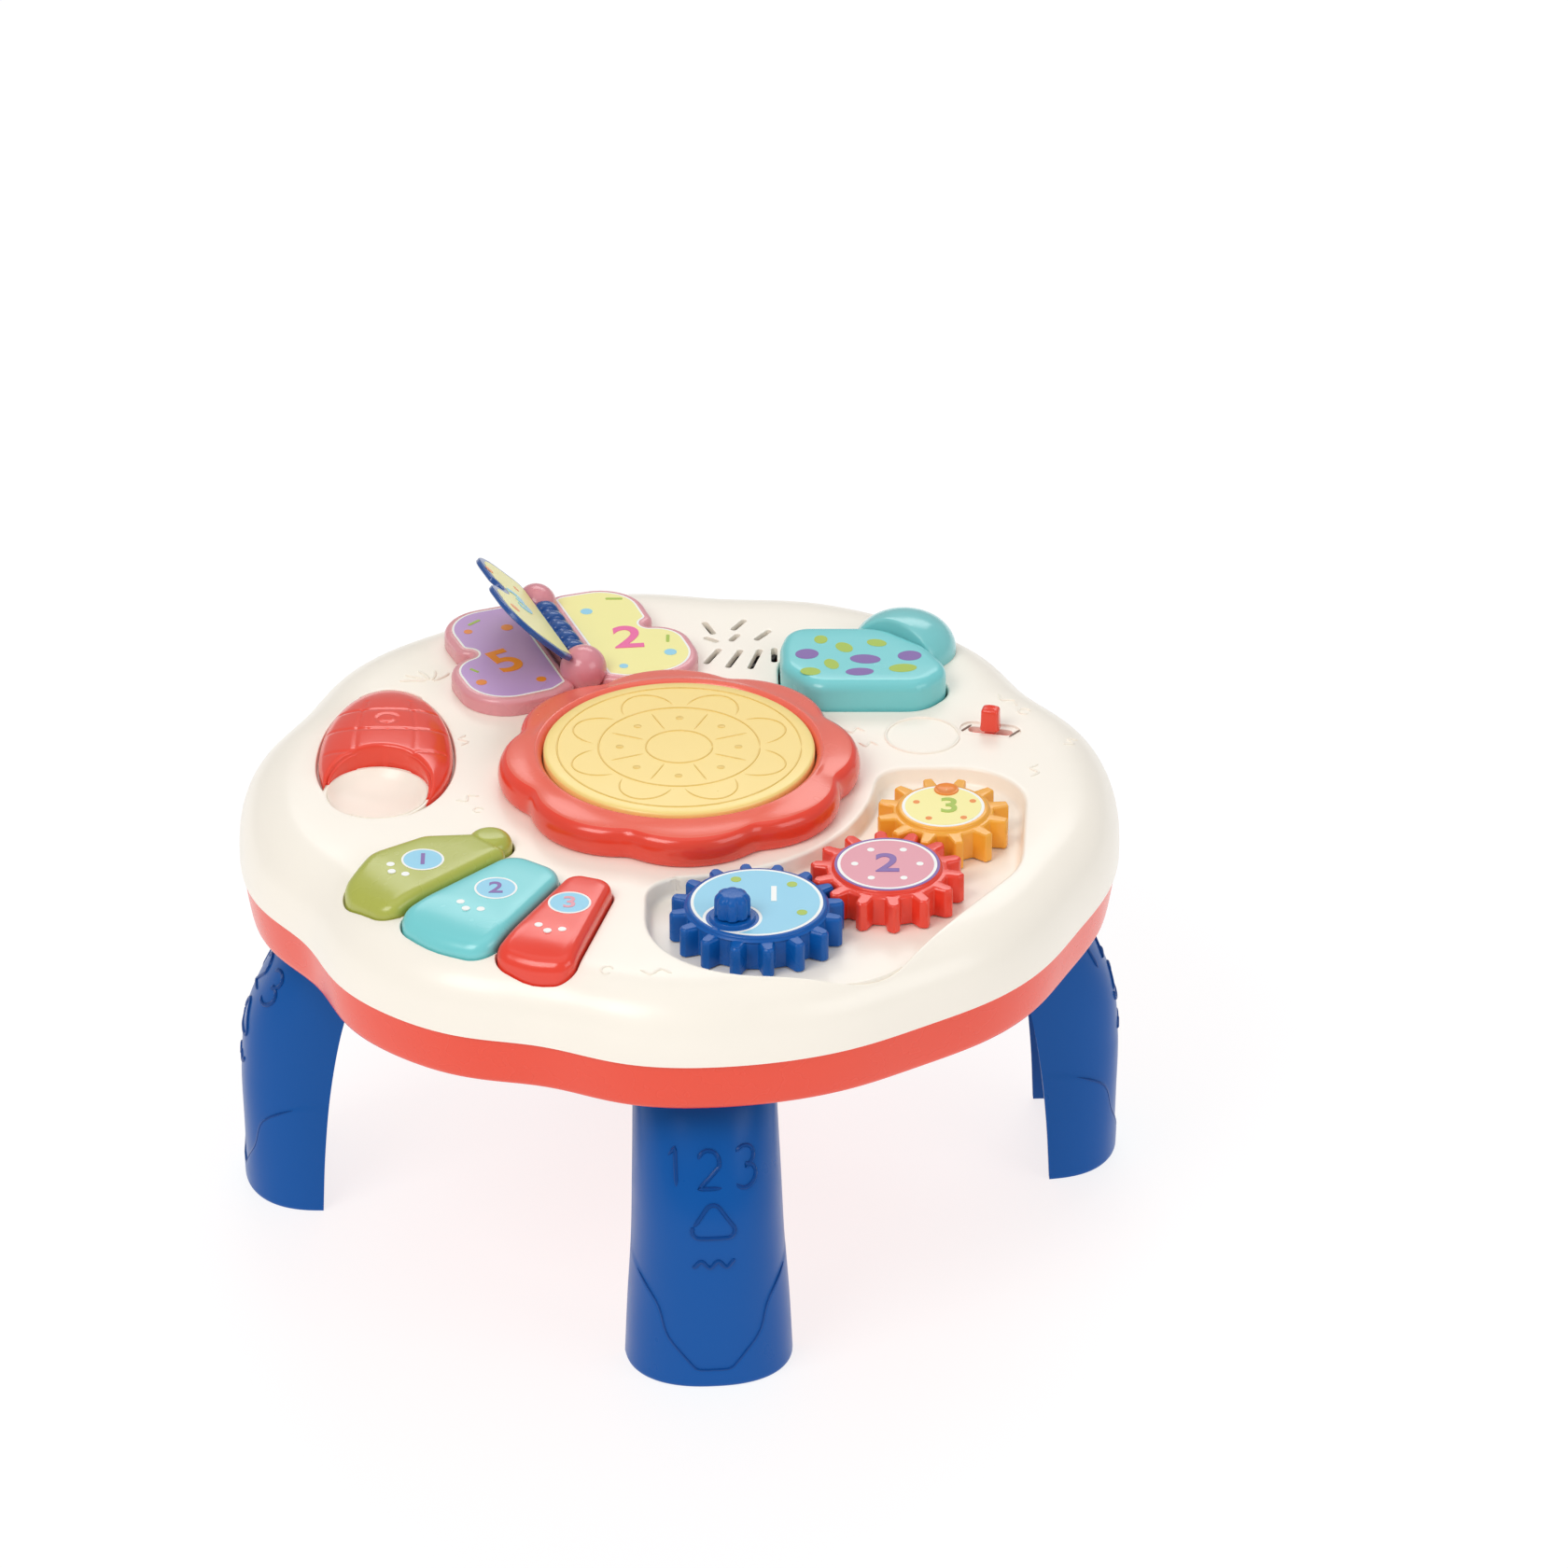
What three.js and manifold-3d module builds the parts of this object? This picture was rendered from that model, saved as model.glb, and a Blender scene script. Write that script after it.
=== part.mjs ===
// Musical activity table for a small child. A scalloped cream top shell closes on a red tray, which stands
// on four blue push-fit legs. On the top are a drum, a fan of three keys, three meshing gears with a crank
// knob, a butterfly with a page to turn, a big button with a lamp dome behind it, a flip-up lid over a finger
// bowl, a slide switch and a speaker grille. Millimetres, +Z up, origin on the floor under the table's middle.

import * as THREE from 'three';
import { mergeVertices } from 'three/addons/utils/BufferGeometryUtils.js';
import Module from 'manifold-3d';

const wasm = await Module();
wasm.setup();

// Fits that every piece shares
const seat = 0.3;
const runningGap = 0.4;
const overrun = 1;
const leastCorner = 0.2;
const mergeLength = 0.0001;
const largeSides = 20;
const middleSides = 12;
const smallSides = 6;
const bossSides = 8;
const cornerSteps = 2;
const domeSteps = 2;

// Table body
const tableRadius = 186;
const rimDipDepth = tableRadius * 0.048387;
const rimDipWidthDegrees = 10;
const rimDipDepthShares = [
  [-151, 1], [-108, 0.95], [-56, 0.3], [-24, 0.35], [31, 0.9], [84, 0.7], [125, 0.3], [156, 0.65],
];
const rimPoints = 44;
const legHeight = 131;
const bandHeight = 22.5;
const topDepth = 30.5;
const skirtHeight = 5;
const shoulderRun = tableRadius * 0.145161;
const shoulderPower = 2.3;
const shoulderSteps = 3;
const shellWall = 3;
const edgeEase = 1.2;

// Red tray
const trayWall = 2.5;
const trayDraft = 3.2;
const trayInset = 0.8;
const trayEdge = 2;
const lipWidth = 2;
const lipHeight = 4;
const socketWall = 2.2;
const socketDepth = 16;

// Legs, at the azimuth of the front one and each quarter turn from it
const legAzimuthDegrees = -85.3;
const legNames = ['leg_front', 'leg_right', 'leg_back', 'leg_left'];
const legReach = tableRadius * 1.017742;
const legDepth = tableRadius * 0.204301;
const legHalfWidth = tableRadius * 0.195161;
const legWall = 3;
const legPower = 2.3;
const legArcPoints = 6;
// Height, outer face, inner edge and half width of the leg, as shares of its height, reach and half width
const legLevelShares = [
  [0, 0.991, 0.822, 0.965], [0.2, 0.995, 0.815, 0.93], [0.42, 0.997, 0.8, 0.878], [0.62, 0.981, 0.776, 0.853],
  [0.82, 0.917, 0.74, 0.829], [1, 0.835, 0.713, 0.813],
];
const tenonInset = 1.2;
const webThickness = 2.4;
const webHeight = 46;
// The boot at the foot of each leg: a thin raised layer round a tongue-shaped window
const bootHeight = 50;
const bootRelief = 0.9;
const bootWindowShares = [
  [-0.93, 1.12, 0.02], [-0.72, 0.72, 0.2], [-0.5, 0.06, 0.35],
  [0.5, 0.06, 0.35], [0.72, 0.72, 0.2], [0.93, 1.12, 0.02],
];

// Drum
const drumRadius = tableRadius * 0.309677;
const drumHeight = 16;
const drumHeadThickness = 3;
const drumSkirt = 12.5;
const drumFlange = 2.2;
const ringLobeRadius = tableRadius * 0.411828;
const ringDipDepth = tableRadius * 0.034409;
const ringLobes = 8;
const ringLobeAzimuthDegrees = 5.5;
const ringHeight = 13.2;
const ringBulge = 1.6;
const ringSlope = 2.4;
const ringPoints = 40;
const plungerRadius = 5;
const collarWall = 2.5;
const collarDepth = 6;

// Keys, fanned about the middle of the drum
const keyInnerRadius = tableRadius * 0.52957;
const keyOuterRadius = tableRadius * 0.897849;
const keyLength = keyOuterRadius - keyInnerRadius;
const keyTopRise = 7.2;
const keySkirt = 12;
const keyWall = 2.2;
const keyGap = 1.2;
const keyClearance = 0.8;
const keyRound = keyLength * 0.0876;
// Shares of a key's half width at its inner and outer ends: the corners, and the bow of the outer end
const keyInnerRoundShare = 0.78;
const keyOuterRoundShare = 0.45;
const keyNoseShare = 0.19;
const keyNoseRoundShare = 1.9;
const fanLinesDegrees = [-134.2, -117, -104.5];
const greenAzimuthDegrees = -142;
// Its corners: x along its length, then y in half widths on its free side, or in shares of the way to the teal
// key on the other, and a corner radius
const greenCornerShares = [
  [0.03, -0.35, 0.2], [0.3, -0.9, 0.5], [0.68, -0.98, 0.75], [1.06, -0.4, 0.62], [1, 0.93, 0.4],
  [0, 0.93, 0.2],
];
const greenHalfWidth = keyInnerRadius * 0.22944;
const greenRoundShare = 0.33;
const greenStemRadius = keyLength * 0.13869;
const greenStemShares = [-0.01, -0.1];
const pivotSetback = 6.5;
const pivotDrop = 7;
const pivotRadius = 1.5;
const armWidth = 10;
const armHeight = 5;
const earThickness = 2.5;
const earGap = 0.5;
const actuatorRadius = 3;
const keyActuatorRadius = keyInnerRadius + keyLength * 0.60584;
const keyStopLength = 2.2;

// Gears: rounded blue, pointed red and square yellow teeth of one module
const gearModule = tableRadius * 0.022419;
const gearTeeth = [16, 14, 12];
const gearNames = ['blue_gear', 'red_gear', 'yellow_gear'];
const gearColours = ['#1b5fae', '#e23a30', '#f3a531'];
const gearTipRounds = [0.216, 0.36, 0.096].map((share) => gearModule * share);
const gearLabelRadii = [0.15699, 0.12151, 0.10323].map((share) => tableRadius * share);
const gearPressureDegrees = 22;
const gearAddendum = gearModule * 0.6954;
const gearDedendum = gearModule * 0.8873;
const gearBacklash = gearModule * 0.1679;
const gearThickness = 13;
const gearBevel = 0.8;
const gearLabelRise = 1.8;
const blueGearX = tableRadius * 0.177419;
const blueGearY = tableRadius * -0.623656;
const gearLineDegrees = [30.4, 63.9];
const gearRecessDepth = 8;
const gearRecessReach = tableRadius * 0.049462;
// Outer corners of the recess: gear number, then x, y and corner radius as shares of that gear's tip radius
// and reach. Its inner side runs round the drum at a radius of its own, through these azimuths
const gearRecessShares = [
  [0, -1, 0.73, 0.36], [0, -1, -1, 1], [1, -0.1, -1.87, 0.9], [2, 0.86, -1, 1.1], [2, 0.98, 1.27, 0.8],
  [2, -0.7, 1.22, 0.36],
];
const gearRecessInnerRadius = tableRadius * 0.446237;
const gearRecessInnerDegrees = [-13, -31, -49, -67, -85];
const hubRadius = 5.5;
const hubClearance = 0.35;
const retainerFlange = 8;
const knobOffsetX = tableRadius * -0.053763;
const knobOffsetY = tableRadius * -0.069892;
const knobRadius = 7.6;
const knobFlute = 0.9;
const knobFlutes = 8;
const knobHeight = 12;
const knobCollarRadius = 9.4;
const knobCollarHeight = 1.6;
const knobPostRadius = 3;

// Butterfly and its page, about the middle of the wings with the body along +Y
const butterflyX = tableRadius * -0.268817;
const butterflyY = tableRadius * 0.553763;
const butterflyTurnDegrees = 20;
const wingReach = tableRadius * 0.284946;
const wingLength = tableRadius * 0.247312;
const wingHeight = 8.4;
const wingSink = 1;
const wingRound = 2.2;
const wingCornerShares = [
  [0.06, -0.62, 0.08], [0.3, -0.8, 0.2], [1, -0.86, 0.4], [1.02, 0.1, 0.3], [0.7, 0.16, 0.03],
  [0.84, 0.26, 0.12], [0.86, 1, 0.38], [0.14, 1.02, 0.2], [0.06, 0.8, 0.08],
];
const headRadius = 10;
const headY = tableRadius * -0.129032;
const tailRadius = 8.5;
const tailStretch = 1.15;
const tailY = tableRadius * 0.204301;
const hingeHeight = 10.4;
const barrelRadius = 4.6;
const barrelRibRise = 1.3;
const barrelRibs = 5;
const pagePinRadius = 1.4;
const pageThickness = 2.4;
const pageLeanDegrees = 45;
const pageInset = 3.2;

// Teal button and the lamp dome behind it
const buttonX = tableRadius * 0.424731;
const buttonY = tableRadius * 0.473118;
const buttonHalfWidth = tableRadius * 0.198925;
const buttonHalfDepth = tableRadius * 0.145161;
const buttonCornerShares = [
  [-0.99, 0.4, 0.3], [-0.98, -0.35, 0.3], [-0.62, -1, 0.4], [0.66, -1, 0.35],
  [1, -0.42, 0.22], [0.72, 0.35, 0.2], [0.2, 0.98, 0.35], [-0.9, 0.98, 0.3],
];
const buttonRise = 12.5;
const buttonSkirt = 12;
const buttonRound = 3.4;
const buttonWall = 2.4;
const buttonClearance = 0.8;
const buttonFlange = 2.4;
const domeX = tableRadius * 0.516129;
const domeY = tableRadius * 0.61828;
const domeRadius = tableRadius * 0.120968;
const domeHeight = 17;
const domeWall = 2.4;
const ledRadius = 2.5;

// Flip-up lid, its well and the finger bowl
const lidX = tableRadius * -0.66828;
const lidY = tableRadius * 0.075269;
const lidHalfWidth = tableRadius * 0.152688;
const lidBack = tableRadius * 0.327957;
const lidFront = tableRadius * 0.247312;
const lidSink = 2.5;
const lidHeight = 11;
const lidWall = 2.2;
const lidClearance = 1;
const lidWellDepth = 9.2;
const lidLedge = 3;
const lidBayReach = 4;
const lidHingeSetback = 4.6;
const lidHingeDrop = 3;
const lidBarrelRadius = 2.4;
const lidPinRadius = 1.1;
const lidKnuckleWidth = 12;
const bowlX = tableRadius * -0.682796;
const bowlY = tableRadius * -0.061828;
const bowlRadius = tableRadius * 0.113978;
const bowlDepth = 8;
const bowlRim = 1.4;

// Slide switch
const switchX = tableRadius * 0.709677;
const switchY = tableRadius * 0.236559;
const switchTurnDegrees = -12;
const switchTravel = 5;
const switchKnobLength = 8.4;
const switchKnobWidth = 7;
const switchKnobHeight = 10.5;
const switchNeckWidth = 4.2;
const switchTrackLength = 26;
const switchTrackWidth = 11;
const switchTrackDepth = 0.9;
const switchPlateLength = 17;
const switchPlateWidth = 9;
const switchPlateThickness = 1.6;

// Speaker and its grille
const speakerX = tableRadius * 0.13172;
const speakerY = tableRadius * 0.655914;
const speakerRadius = tableRadius * 0.096774;
// Slots over the speaker: x, y and length as shares of its radius, then the direction
const grilleSlotShares = [
  [-0.62, -0.72, 0.72, 66], [-0.1, -0.84, 0.84, 70], [0.4, -0.86, 0.9, 76], [0.86, -0.66, 0.6, 90],
  [-0.66, 0.12, 0.3, 145], [-0.1, 0.22, 0.3, 60], [0.58, 0.34, 0.5, 55], [-0.72, 0.7, 0.56, 112],
  [0, 0.86, 0.5, 60],
];
const grilleSlotWidth = 2.6;

// Boards, pads, screws and batteries inside
const boardThickness = 1.6;
const boardDrop = 21;
const padRadius = 6;
const padHeight = 6;
const postRadius = 3;
const mainBoardLength = tableRadius * 0.494624;
const mainBoardWidth = tableRadius * 0.354839;
const keyBoardInner = tableRadius * 0.451613;
const keyBoardOuter = tableRadius * 0.790323;
const keyBoardWidth = tableRadius * 0.494624;
const buttonBoardLength = tableRadius * 0.516129;
const buttonBoardWidth = 18;
const buttonBoardTurnDegrees = 12;
const boardScrewLength = 10;
const screwCircle = tableRadius * 0.811828;
const screwAzimuthsDegrees = [31, 117, 143, -156.5, -61, -20];
const bossRadius = 4;
const screwShank = 1.4;
const screwHead = 3;
const screwHeadHeight = 2.2;
const screwLength = 22;
const counterbore = 6;
const cellRadius = 7.1;
const cellLength = 50;
const cellGap = 1.2;
const cellEndRoom = 2;
const cellSideRoom = 1.5;
const cellHeadRoom = 0.8;
const cellPitch = 2 * cellRadius + cellGap;
const boxLength = cellLength + 2 * cellEndRoom;
const boxWidth = 2 * cellPitch + 2 * cellRadius + 2 * cellSideRoom;
const boxHeight = 2 * cellRadius + cellHeadRoom;
const boxWall = 2;
const doorThickness = 2.2;
const doorLip = 2.5;
const doorHeadDepth = 1.3;
const doorScrewLength = 9;

// Heights that follow
const seamZ = legHeight + bandHeight;
const topZ = seamZ + topDepth;
const ceilingZ = topZ - shellWall;
const trayFloorZ = legHeight + trayWall;
const boardZ = ceilingZ - boardDrop;
const boardTopZ = boardZ + boardThickness;
const padTopZ = boardTopZ + seat + padHeight;

const radians = THREE.MathUtils.degToRad;

// Joins a closed geometry's vertices and hands it over as a solid
function solid(geometry) {
  const bare = geometry.clone();
  bare.deleteAttribute('normal');
  bare.deleteAttribute('uv');
  const merged = mergeVertices(bare, mergeLength);
  const index = merged.index.array;
  const kept = [];
  for (let i = 0; i < index.length; i += 3) {
    const [a, b, c] = [index[i], index[i + 1], index[i + 2]];
    if (a !== b && b !== c && c !== a) kept.push(a, b, c);
  }
  return new wasm.Manifold(new wasm.Mesh({
    numProp: 3,
    vertProperties: Float32Array.from(merged.attributes.position.array),
    triVerts: Uint32Array.from(kept),
  }));
}

function join(...solids) {
  return solids.reduce((whole, piece) => whole.add(piece));
}

function cut(whole, ...tools) {
  return tools.reduce((rest, tool) => rest.subtract(tool), whole);
}

function addMesh(group, name, piece, colour, roughness, metalness = 0) {
  const { vertProperties, triVerts } = piece.getMesh();
  const geometry = new THREE.BufferGeometry();
  geometry.setAttribute('position', new THREE.BufferAttribute(Float32Array.from(vertProperties), 3));
  geometry.setIndex(new THREE.BufferAttribute(Uint32Array.from(triVerts), 1));
  geometry.computeVertexNormals();
  const material = new THREE.MeshStandardMaterial({ color: colour, roughness, metalness });
  const mesh = new THREE.Mesh(geometry, material);
  mesh.name = name;
  group.add(mesh);
  return mesh;
}

function placeSolid(geometry, x = 0, y = 0, z = 0, turn = 0) {
  return solid(geometry.clone().rotateZ(turn).translate(x, y, z));
}

// A closed body through rings of equally many points, each ring [outline, height], from the bottom up
function loft(rings) {
  const count = rings[0][0].length;
  const positions = [];
  for (const [outline, height] of rings) {
    for (const [x, y, rise = 0] of outline) positions.push(x, y, height + rise);
  }
  const faces = [];
  for (let ring = 0; ring < rings.length - 1; ring += 1) {
    for (let i = 0; i < count; i += 1) {
      const next = (i + 1) % count;
      const [a, b] = [ring * count + i, ring * count + next];
      faces.push(a, b, b + count, a, b + count, a + count);
    }
  }
  const flat = (outline) => outline.map(([x, y]) => new THREE.Vector2(x, y));
  for (const [a, b, c] of THREE.ShapeUtils.triangulateShape(flat(rings[0][0]), [])) faces.push(c, b, a);
  const last = (rings.length - 1) * count;
  for (const [a, b, c] of THREE.ShapeUtils.triangulateShape(flat(rings.at(-1)[0]), [])) {
    faces.push(last + a, last + b, last + c);
  }
  const geometry = new THREE.BufferGeometry();
  geometry.setAttribute('position', new THREE.Float32BufferAttribute(positions, 3));
  geometry.setIndex(faces);
  return geometry;
}

// A revolved body about Z from a profile of [radius, height], bottom up, closed on the axis or on itself
function turned(profile, sides = middleSides) {
  const points = profile.map(([radius, height]) => new THREE.Vector2(radius, height));
  return new THREE.LatheGeometry(points, sides).rotateX(Math.PI / 2);
}

function rod(radius, bottom, top, sides = smallSides) {
  return loft([[circle(radius, sides), bottom], [circle(radius, sides), top]]);
}

function bar(length, width, bottom, top, x = 0, y = 0) {
  return new THREE.BoxGeometry(length, width, top - bottom).translate(x, y, (top + bottom) / 2);
}

function circle(radius, count, x = 0, y = 0) {
  return Array.from({ length: count }, (_, i) => {
    const angle = (2 * Math.PI * i) / count;
    return [x + radius * Math.cos(angle), y + radius * Math.sin(angle)];
  });
}

// An outline given by its radius at each angle, moved outwards by grow
function radial(radiusAt, count, grow = 0) {
  return Array.from({ length: count }, (_, i) => {
    const angle = (2 * Math.PI * i) / count;
    const radius = radiusAt(angle) + grow;
    return [radius * Math.cos(angle), radius * Math.sin(angle)];
  });
}

// An anticlockwise outline with rounded corners, each [x, y, radius]. A corner of no radius stays one point, and
// grow moves every side outwards
function rounded(corners, grow = 0, steps = cornerSteps) {
  const count = corners.length;
  const sides = corners.map(([x, y], i) => {
    const [nextX, nextY] = corners[(i + 1) % count];
    const length = Math.hypot(nextX - x, nextY - y);
    return [(nextX - x) / length, (nextY - y) / length];
  });
  const points = [];
  corners.forEach(([x, y, radius], i) => {
    const [ax, ay] = sides[(i + count - 1) % count];
    const [bx, by] = sides[i];
    const turn = Math.atan2(ax * by - ay * bx, ax * bx + ay * by);
    const hand = Math.sign(turn);
    const spread = grow / (1 + ax * bx + ay * by);
    const cornerX = x + (ay + by) * spread;
    const cornerY = y - (ax + bx) * spread;
    const bend = Math.max(radius + hand * grow, leastCorner);
    const back = bend * Math.tan(Math.abs(turn) / 2);
    const startX = cornerX - ax * back;
    const startY = cornerY - ay * back;
    const middleX = startX - ay * hand * bend;
    const middleY = startY + ax * hand * bend;
    const arcSteps = radius ? steps : 0;
    for (let k = 0; k <= arcSteps; k += 1) {
      const angle = radius ? (turn * k) / arcSteps : turn / 2;
      const [dx, dy] = [startX - middleX, startY - middleY];
      points.push([
        middleX + dx * Math.cos(angle) - dy * Math.sin(angle),
        middleY + dx * Math.sin(angle) + dy * Math.cos(angle),
      ]);
    }
  });
  return points;
}

function shiftOutline(outline, x, y, turn = 0) {
  return outline.map(([px, py]) => [
    x + px * Math.cos(turn) - py * Math.sin(turn),
    y + px * Math.sin(turn) + py * Math.cos(turn),
  ]);
}

function scaleOutline(outline, share, x, y) {
  return outline.map(([px, py]) => [x + (px - x) * share, y + (py - y) * share]);
}

function scallop(grow) {
  return radial((angle) => {
    const dips = rimDipDepthShares.reduce((sum, [azimuth, share]) => {
      const turned = THREE.MathUtils.radToDeg(angle) - azimuth;
      const away = THREE.MathUtils.euclideanModulo(turned + 180, 360) - 180;
      return sum + share * Math.exp(-((away / rimDipWidthDegrees) ** 2));
    }, 0);
    return tableRadius - rimDipDepth * dips;
  }, rimPoints, grow);
}

// The cream shell's side and shoulder, or with an inset the surface that far inside it
function shoulderRings(inset, bottom, steps) {
  const rings = [[scallop(-inset), bottom], [scallop(-inset), seamZ + skirtHeight]];
  for (let k = 1; k <= steps; k += 1) {
    const angle = (Math.PI / 2) * (k / steps);
    const run = shoulderRun * (1 - Math.max(Math.cos(angle), 0) ** (2 / shoulderPower));
    const rise = (topDepth - skirtHeight - inset) * Math.sin(angle) ** (2 / shoulderPower);
    rings.push([scallop(-inset - run), seamZ + skirtHeight + rise]);
  }
  return rings;
}

// A pocket from the top down to a floor, and the wall round it
function pocket(outline, floor) {
  return {
    wall: solid(loft([
      [outline(shellWall), floor - shellWall],
      [outline(shellWall), ceilingZ + shellWall / 4],
    ])),
    hollow: solid(loft([
      [outline(0), floor],
      [outline(0), topZ - edgeEase],
      [outline(edgeEase + overrun), topZ + overrun],
    ])),
  };
}

function legTurn(number) {
  return radians(legAzimuthDegrees + 90 * number);
}

// The leg's outer curve at one level, from one inner edge round to the other
function legCurve([, outerShare, innerShare, widthShare], grow) {
  const inner = legReach * innerShare;
  const depth = legReach * outerShare - inner + grow;
  const half = legHalfWidth * widthShare + grow;
  return Array.from({ length: legArcPoints + 1 }, (_, i) => {
    const angle = -Math.PI / 2 + (Math.PI * i) / legArcPoints;
    const across = Math.sign(Math.sin(angle)) * Math.abs(Math.sin(angle)) ** (2 / legPower);
    return [inner + depth * Math.max(Math.cos(angle), 0) ** (2 / legPower), half * across];
  });
}

// A leg's open channel at one level
function legChannel(level, outerGrow, innerGrow) {
  const outer = legCurve(level, outerGrow);
  const inside = legCurve(level, innerGrow).reverse();
  return [...outer, ...inside];
}

function legShell(outerGrow, innerGrow, top) {
  const rings = legLevelShares.map((level) => [
    legChannel(level, outerGrow, innerGrow), level[0] * (legHeight - seat),
  ]);
  return solid(loft(top ? [...rings, ...top] : rings));
}

// The D-shaped plug at the head of a leg, whole or as the hole it goes into
function tenonOutline(grow) {
  const head = legLevelShares.at(-1);
  const curve = legCurve(head, grow - tenonInset);
  const inner = legReach * head[2] - grow;
  return [[inner, curve[0][1]], ...curve, [inner, curve.at(-1)[1]]];
}

function makeLeg() {
  const head = legLevelShares.at(-1);
  const tenonTop = legHeight + socketDepth - overrun;
  const shell = legShell(0, -legWall);
  const tenon = solid(loft([
    [legChannel(head, -tenonInset, -legWall - tenonInset), legHeight - overrun],
    [legChannel(head, -tenonInset, -legWall - tenonInset), tenonTop],
  ]));
  const layer = legShell(bootRelief, -legWall / 2);
  const window = new THREE.Shape(rounded(bootWindowShares.map(([x, y, r]) => [
    x * legHalfWidth, y * bootHeight, r * legHalfWidth,
  ])).map(([x, y]) => new THREE.Vector2(x, y)));
  const windowTool = new THREE.ExtrudeGeometry(window, { depth: legDepth * 2, bevelEnabled: false });
  windowTool.rotateX(Math.PI / 2).rotateZ(Math.PI / 2).translate(legReach - legDepth / 2, 0, 0);
  const below = solid(bar(legReach * 2, legReach * 2, -overrun, bootHeight));
  const boot = layer.intersect(below).subtract(solid(windowTool));
  const middleLevel = legLevelShares[2];
  const web = solid(loft([
    [legCurve(middleLevel, -legWall / 2), webHeight],
    [legCurve(middleLevel, -legWall / 2), webHeight + webThickness],
  ]));
  return join(shell, tenon, boot, web);
}

function makeTopShell() {
  const form = solid(loft(shoulderRings(0, seamZ, shoulderSteps)));
  const skin = form.subtract(solid(loft(shoulderRings(shellWall, seamZ - overrun, shoulderSteps - 1))));
  const gearPocket = pocket(gearRecessOutline, topZ - gearRecessDepth);
  const lidWell = makeLidWell();
  const added = join(
    gearPocket.wall, ...lidWell.walls, ...keyEars(), ...shellBosses(), speakerRing(), plungerCollar(),
    ...boardPosts(), ...switchPosts(),
  ).intersect(form);
  const removed = [
    gearPocket.hollow, lidWell.hollow, bowlHollow(), ...keyApertures(), ...earHoles(), buttonAperture(),
    ...switchCuts(), ...grilleCuts(), ...hubHoles(), ...bossHoles(), plungerHole(), wingRecess(), lampHole(),
    ...boardPostHoles(),
  ];
  return cut(join(cut(join(skin, added), ...removed), ...lidEars(0)), ...lidEarHoles());
}

function screwPlaces() {
  return screwAzimuthsDegrees.map((azimuth) => [
    screwCircle * Math.cos(radians(azimuth)), screwCircle * Math.sin(radians(azimuth)),
  ]);
}

function shellBosses() {
  return screwPlaces().map(([x, y]) => placeSolid(rod(bossRadius, seamZ, ceilingZ + shellWall / 4), x, y));
}

function bossHoles() {
  return screwPlaces().map(([x, y]) => (
    placeSolid(rod(screwShank + seat, seamZ - overrun, legHeight + counterbore + screwLength + seat), x, y)
  ));
}

function makeTray() {
  const outer = solid(loft([
    [scallop(-trayInset - trayDraft - trayEdge), legHeight],
    [scallop(-trayInset - trayDraft), legHeight + trayEdge],
    [scallop(-trayInset), seamZ - seat],
    [scallop(-shellWall - seat), seamZ - seat],
    [scallop(-shellWall - seat), seamZ + lipHeight],
  ]));
  const inner = solid(loft([
    [scallop(-trayInset - trayDraft - trayEdge - trayWall), trayFloorZ],
    [scallop(-trayInset - trayDraft - trayWall), trayFloorZ + trayEdge],
    [scallop(-shellWall - seat - lipWidth), seamZ - lipHeight],
    [scallop(-shellWall - seat - lipWidth), seamZ + lipHeight + overrun],
  ]));
  const sockets = [];
  const socketHoles = [];
  for (let number = 0; number < legNames.length; number += 1) {
    const outline = (grow) => shiftOutline(tenonOutline(grow), 0, 0, legTurn(number));
    const top = legHeight + socketDepth;
    const prism = (grow, low, high) => solid(loft([[outline(grow), low], [outline(grow), high]]));
    sockets.push(prism(seat + socketWall, legHeight + trayWall / 2, top + socketWall));
    socketHoles.push(prism(seat, legHeight - overrun, top));
  }
  const box = solid(bar(
    boxLength + 2 * boxWall, boxWidth + 2 * boxWall,
    legHeight + trayWall / 2, trayFloorZ + boxHeight + boxWall,
  ));
  const boxHollow = solid(bar(boxLength, boxWidth, legHeight - overrun, trayFloorZ + boxHeight));
  const tabBlock = solid(doorTab(boxWall, legHeight + trayWall / 2, trayFloorZ + doorScrewLength));
  const doorSeat = doorForm(seat, legHeight - overrun, legHeight + doorThickness + seat);
  const doorBossHole = placeSolid(
    rod(screwShank + seat, legHeight, legHeight + doorScrewLength + overrun), 0, doorScrewY,
  );
  const bosses = screwPlaces().map(([x, y]) => (
    placeSolid(rod(bossRadius + overrun, legHeight + trayWall / 2, seamZ - seat, bossSides), x, y)
  ));
  const holes = screwPlaces().flatMap(([x, y]) => [
    placeSolid(rod(screwHead + seat, legHeight - overrun, legHeight + counterbore, middleSides), x, y),
    placeSolid(rod(screwShank + seat, legHeight - overrun, seamZ + overrun), x, y),
  ]);
  return cut(
    join(cut(outer, inner), ...sockets, box, ...bosses, tabBlock),
    ...socketHoles, boxHollow, doorSeat, doorBossHole, ...holes,
  );
}

// The tab of the battery door, which its screw goes through
const tabHalf = bossRadius + overrun;
const doorScrewY = -boxWidth / 2 - boxWall - tabHalf;

function doorTab(grow, bottom, top) {
  return bar(2 * (tabHalf + grow), 2 * tabHalf + 2 * boxWall + grow, bottom, top,
    0, doorScrewY - (grow - 2 * boxWall) / 2);
}

function doorForm(grow, bottom, top) {
  const reach = 2 * (doorLip - boxWall / 2 + grow);
  const plate = solid(bar(boxLength + reach, boxWidth + reach, bottom, top));
  return join(plate, solid(doorTab(grow, bottom, top)));
}

// Drum

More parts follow.
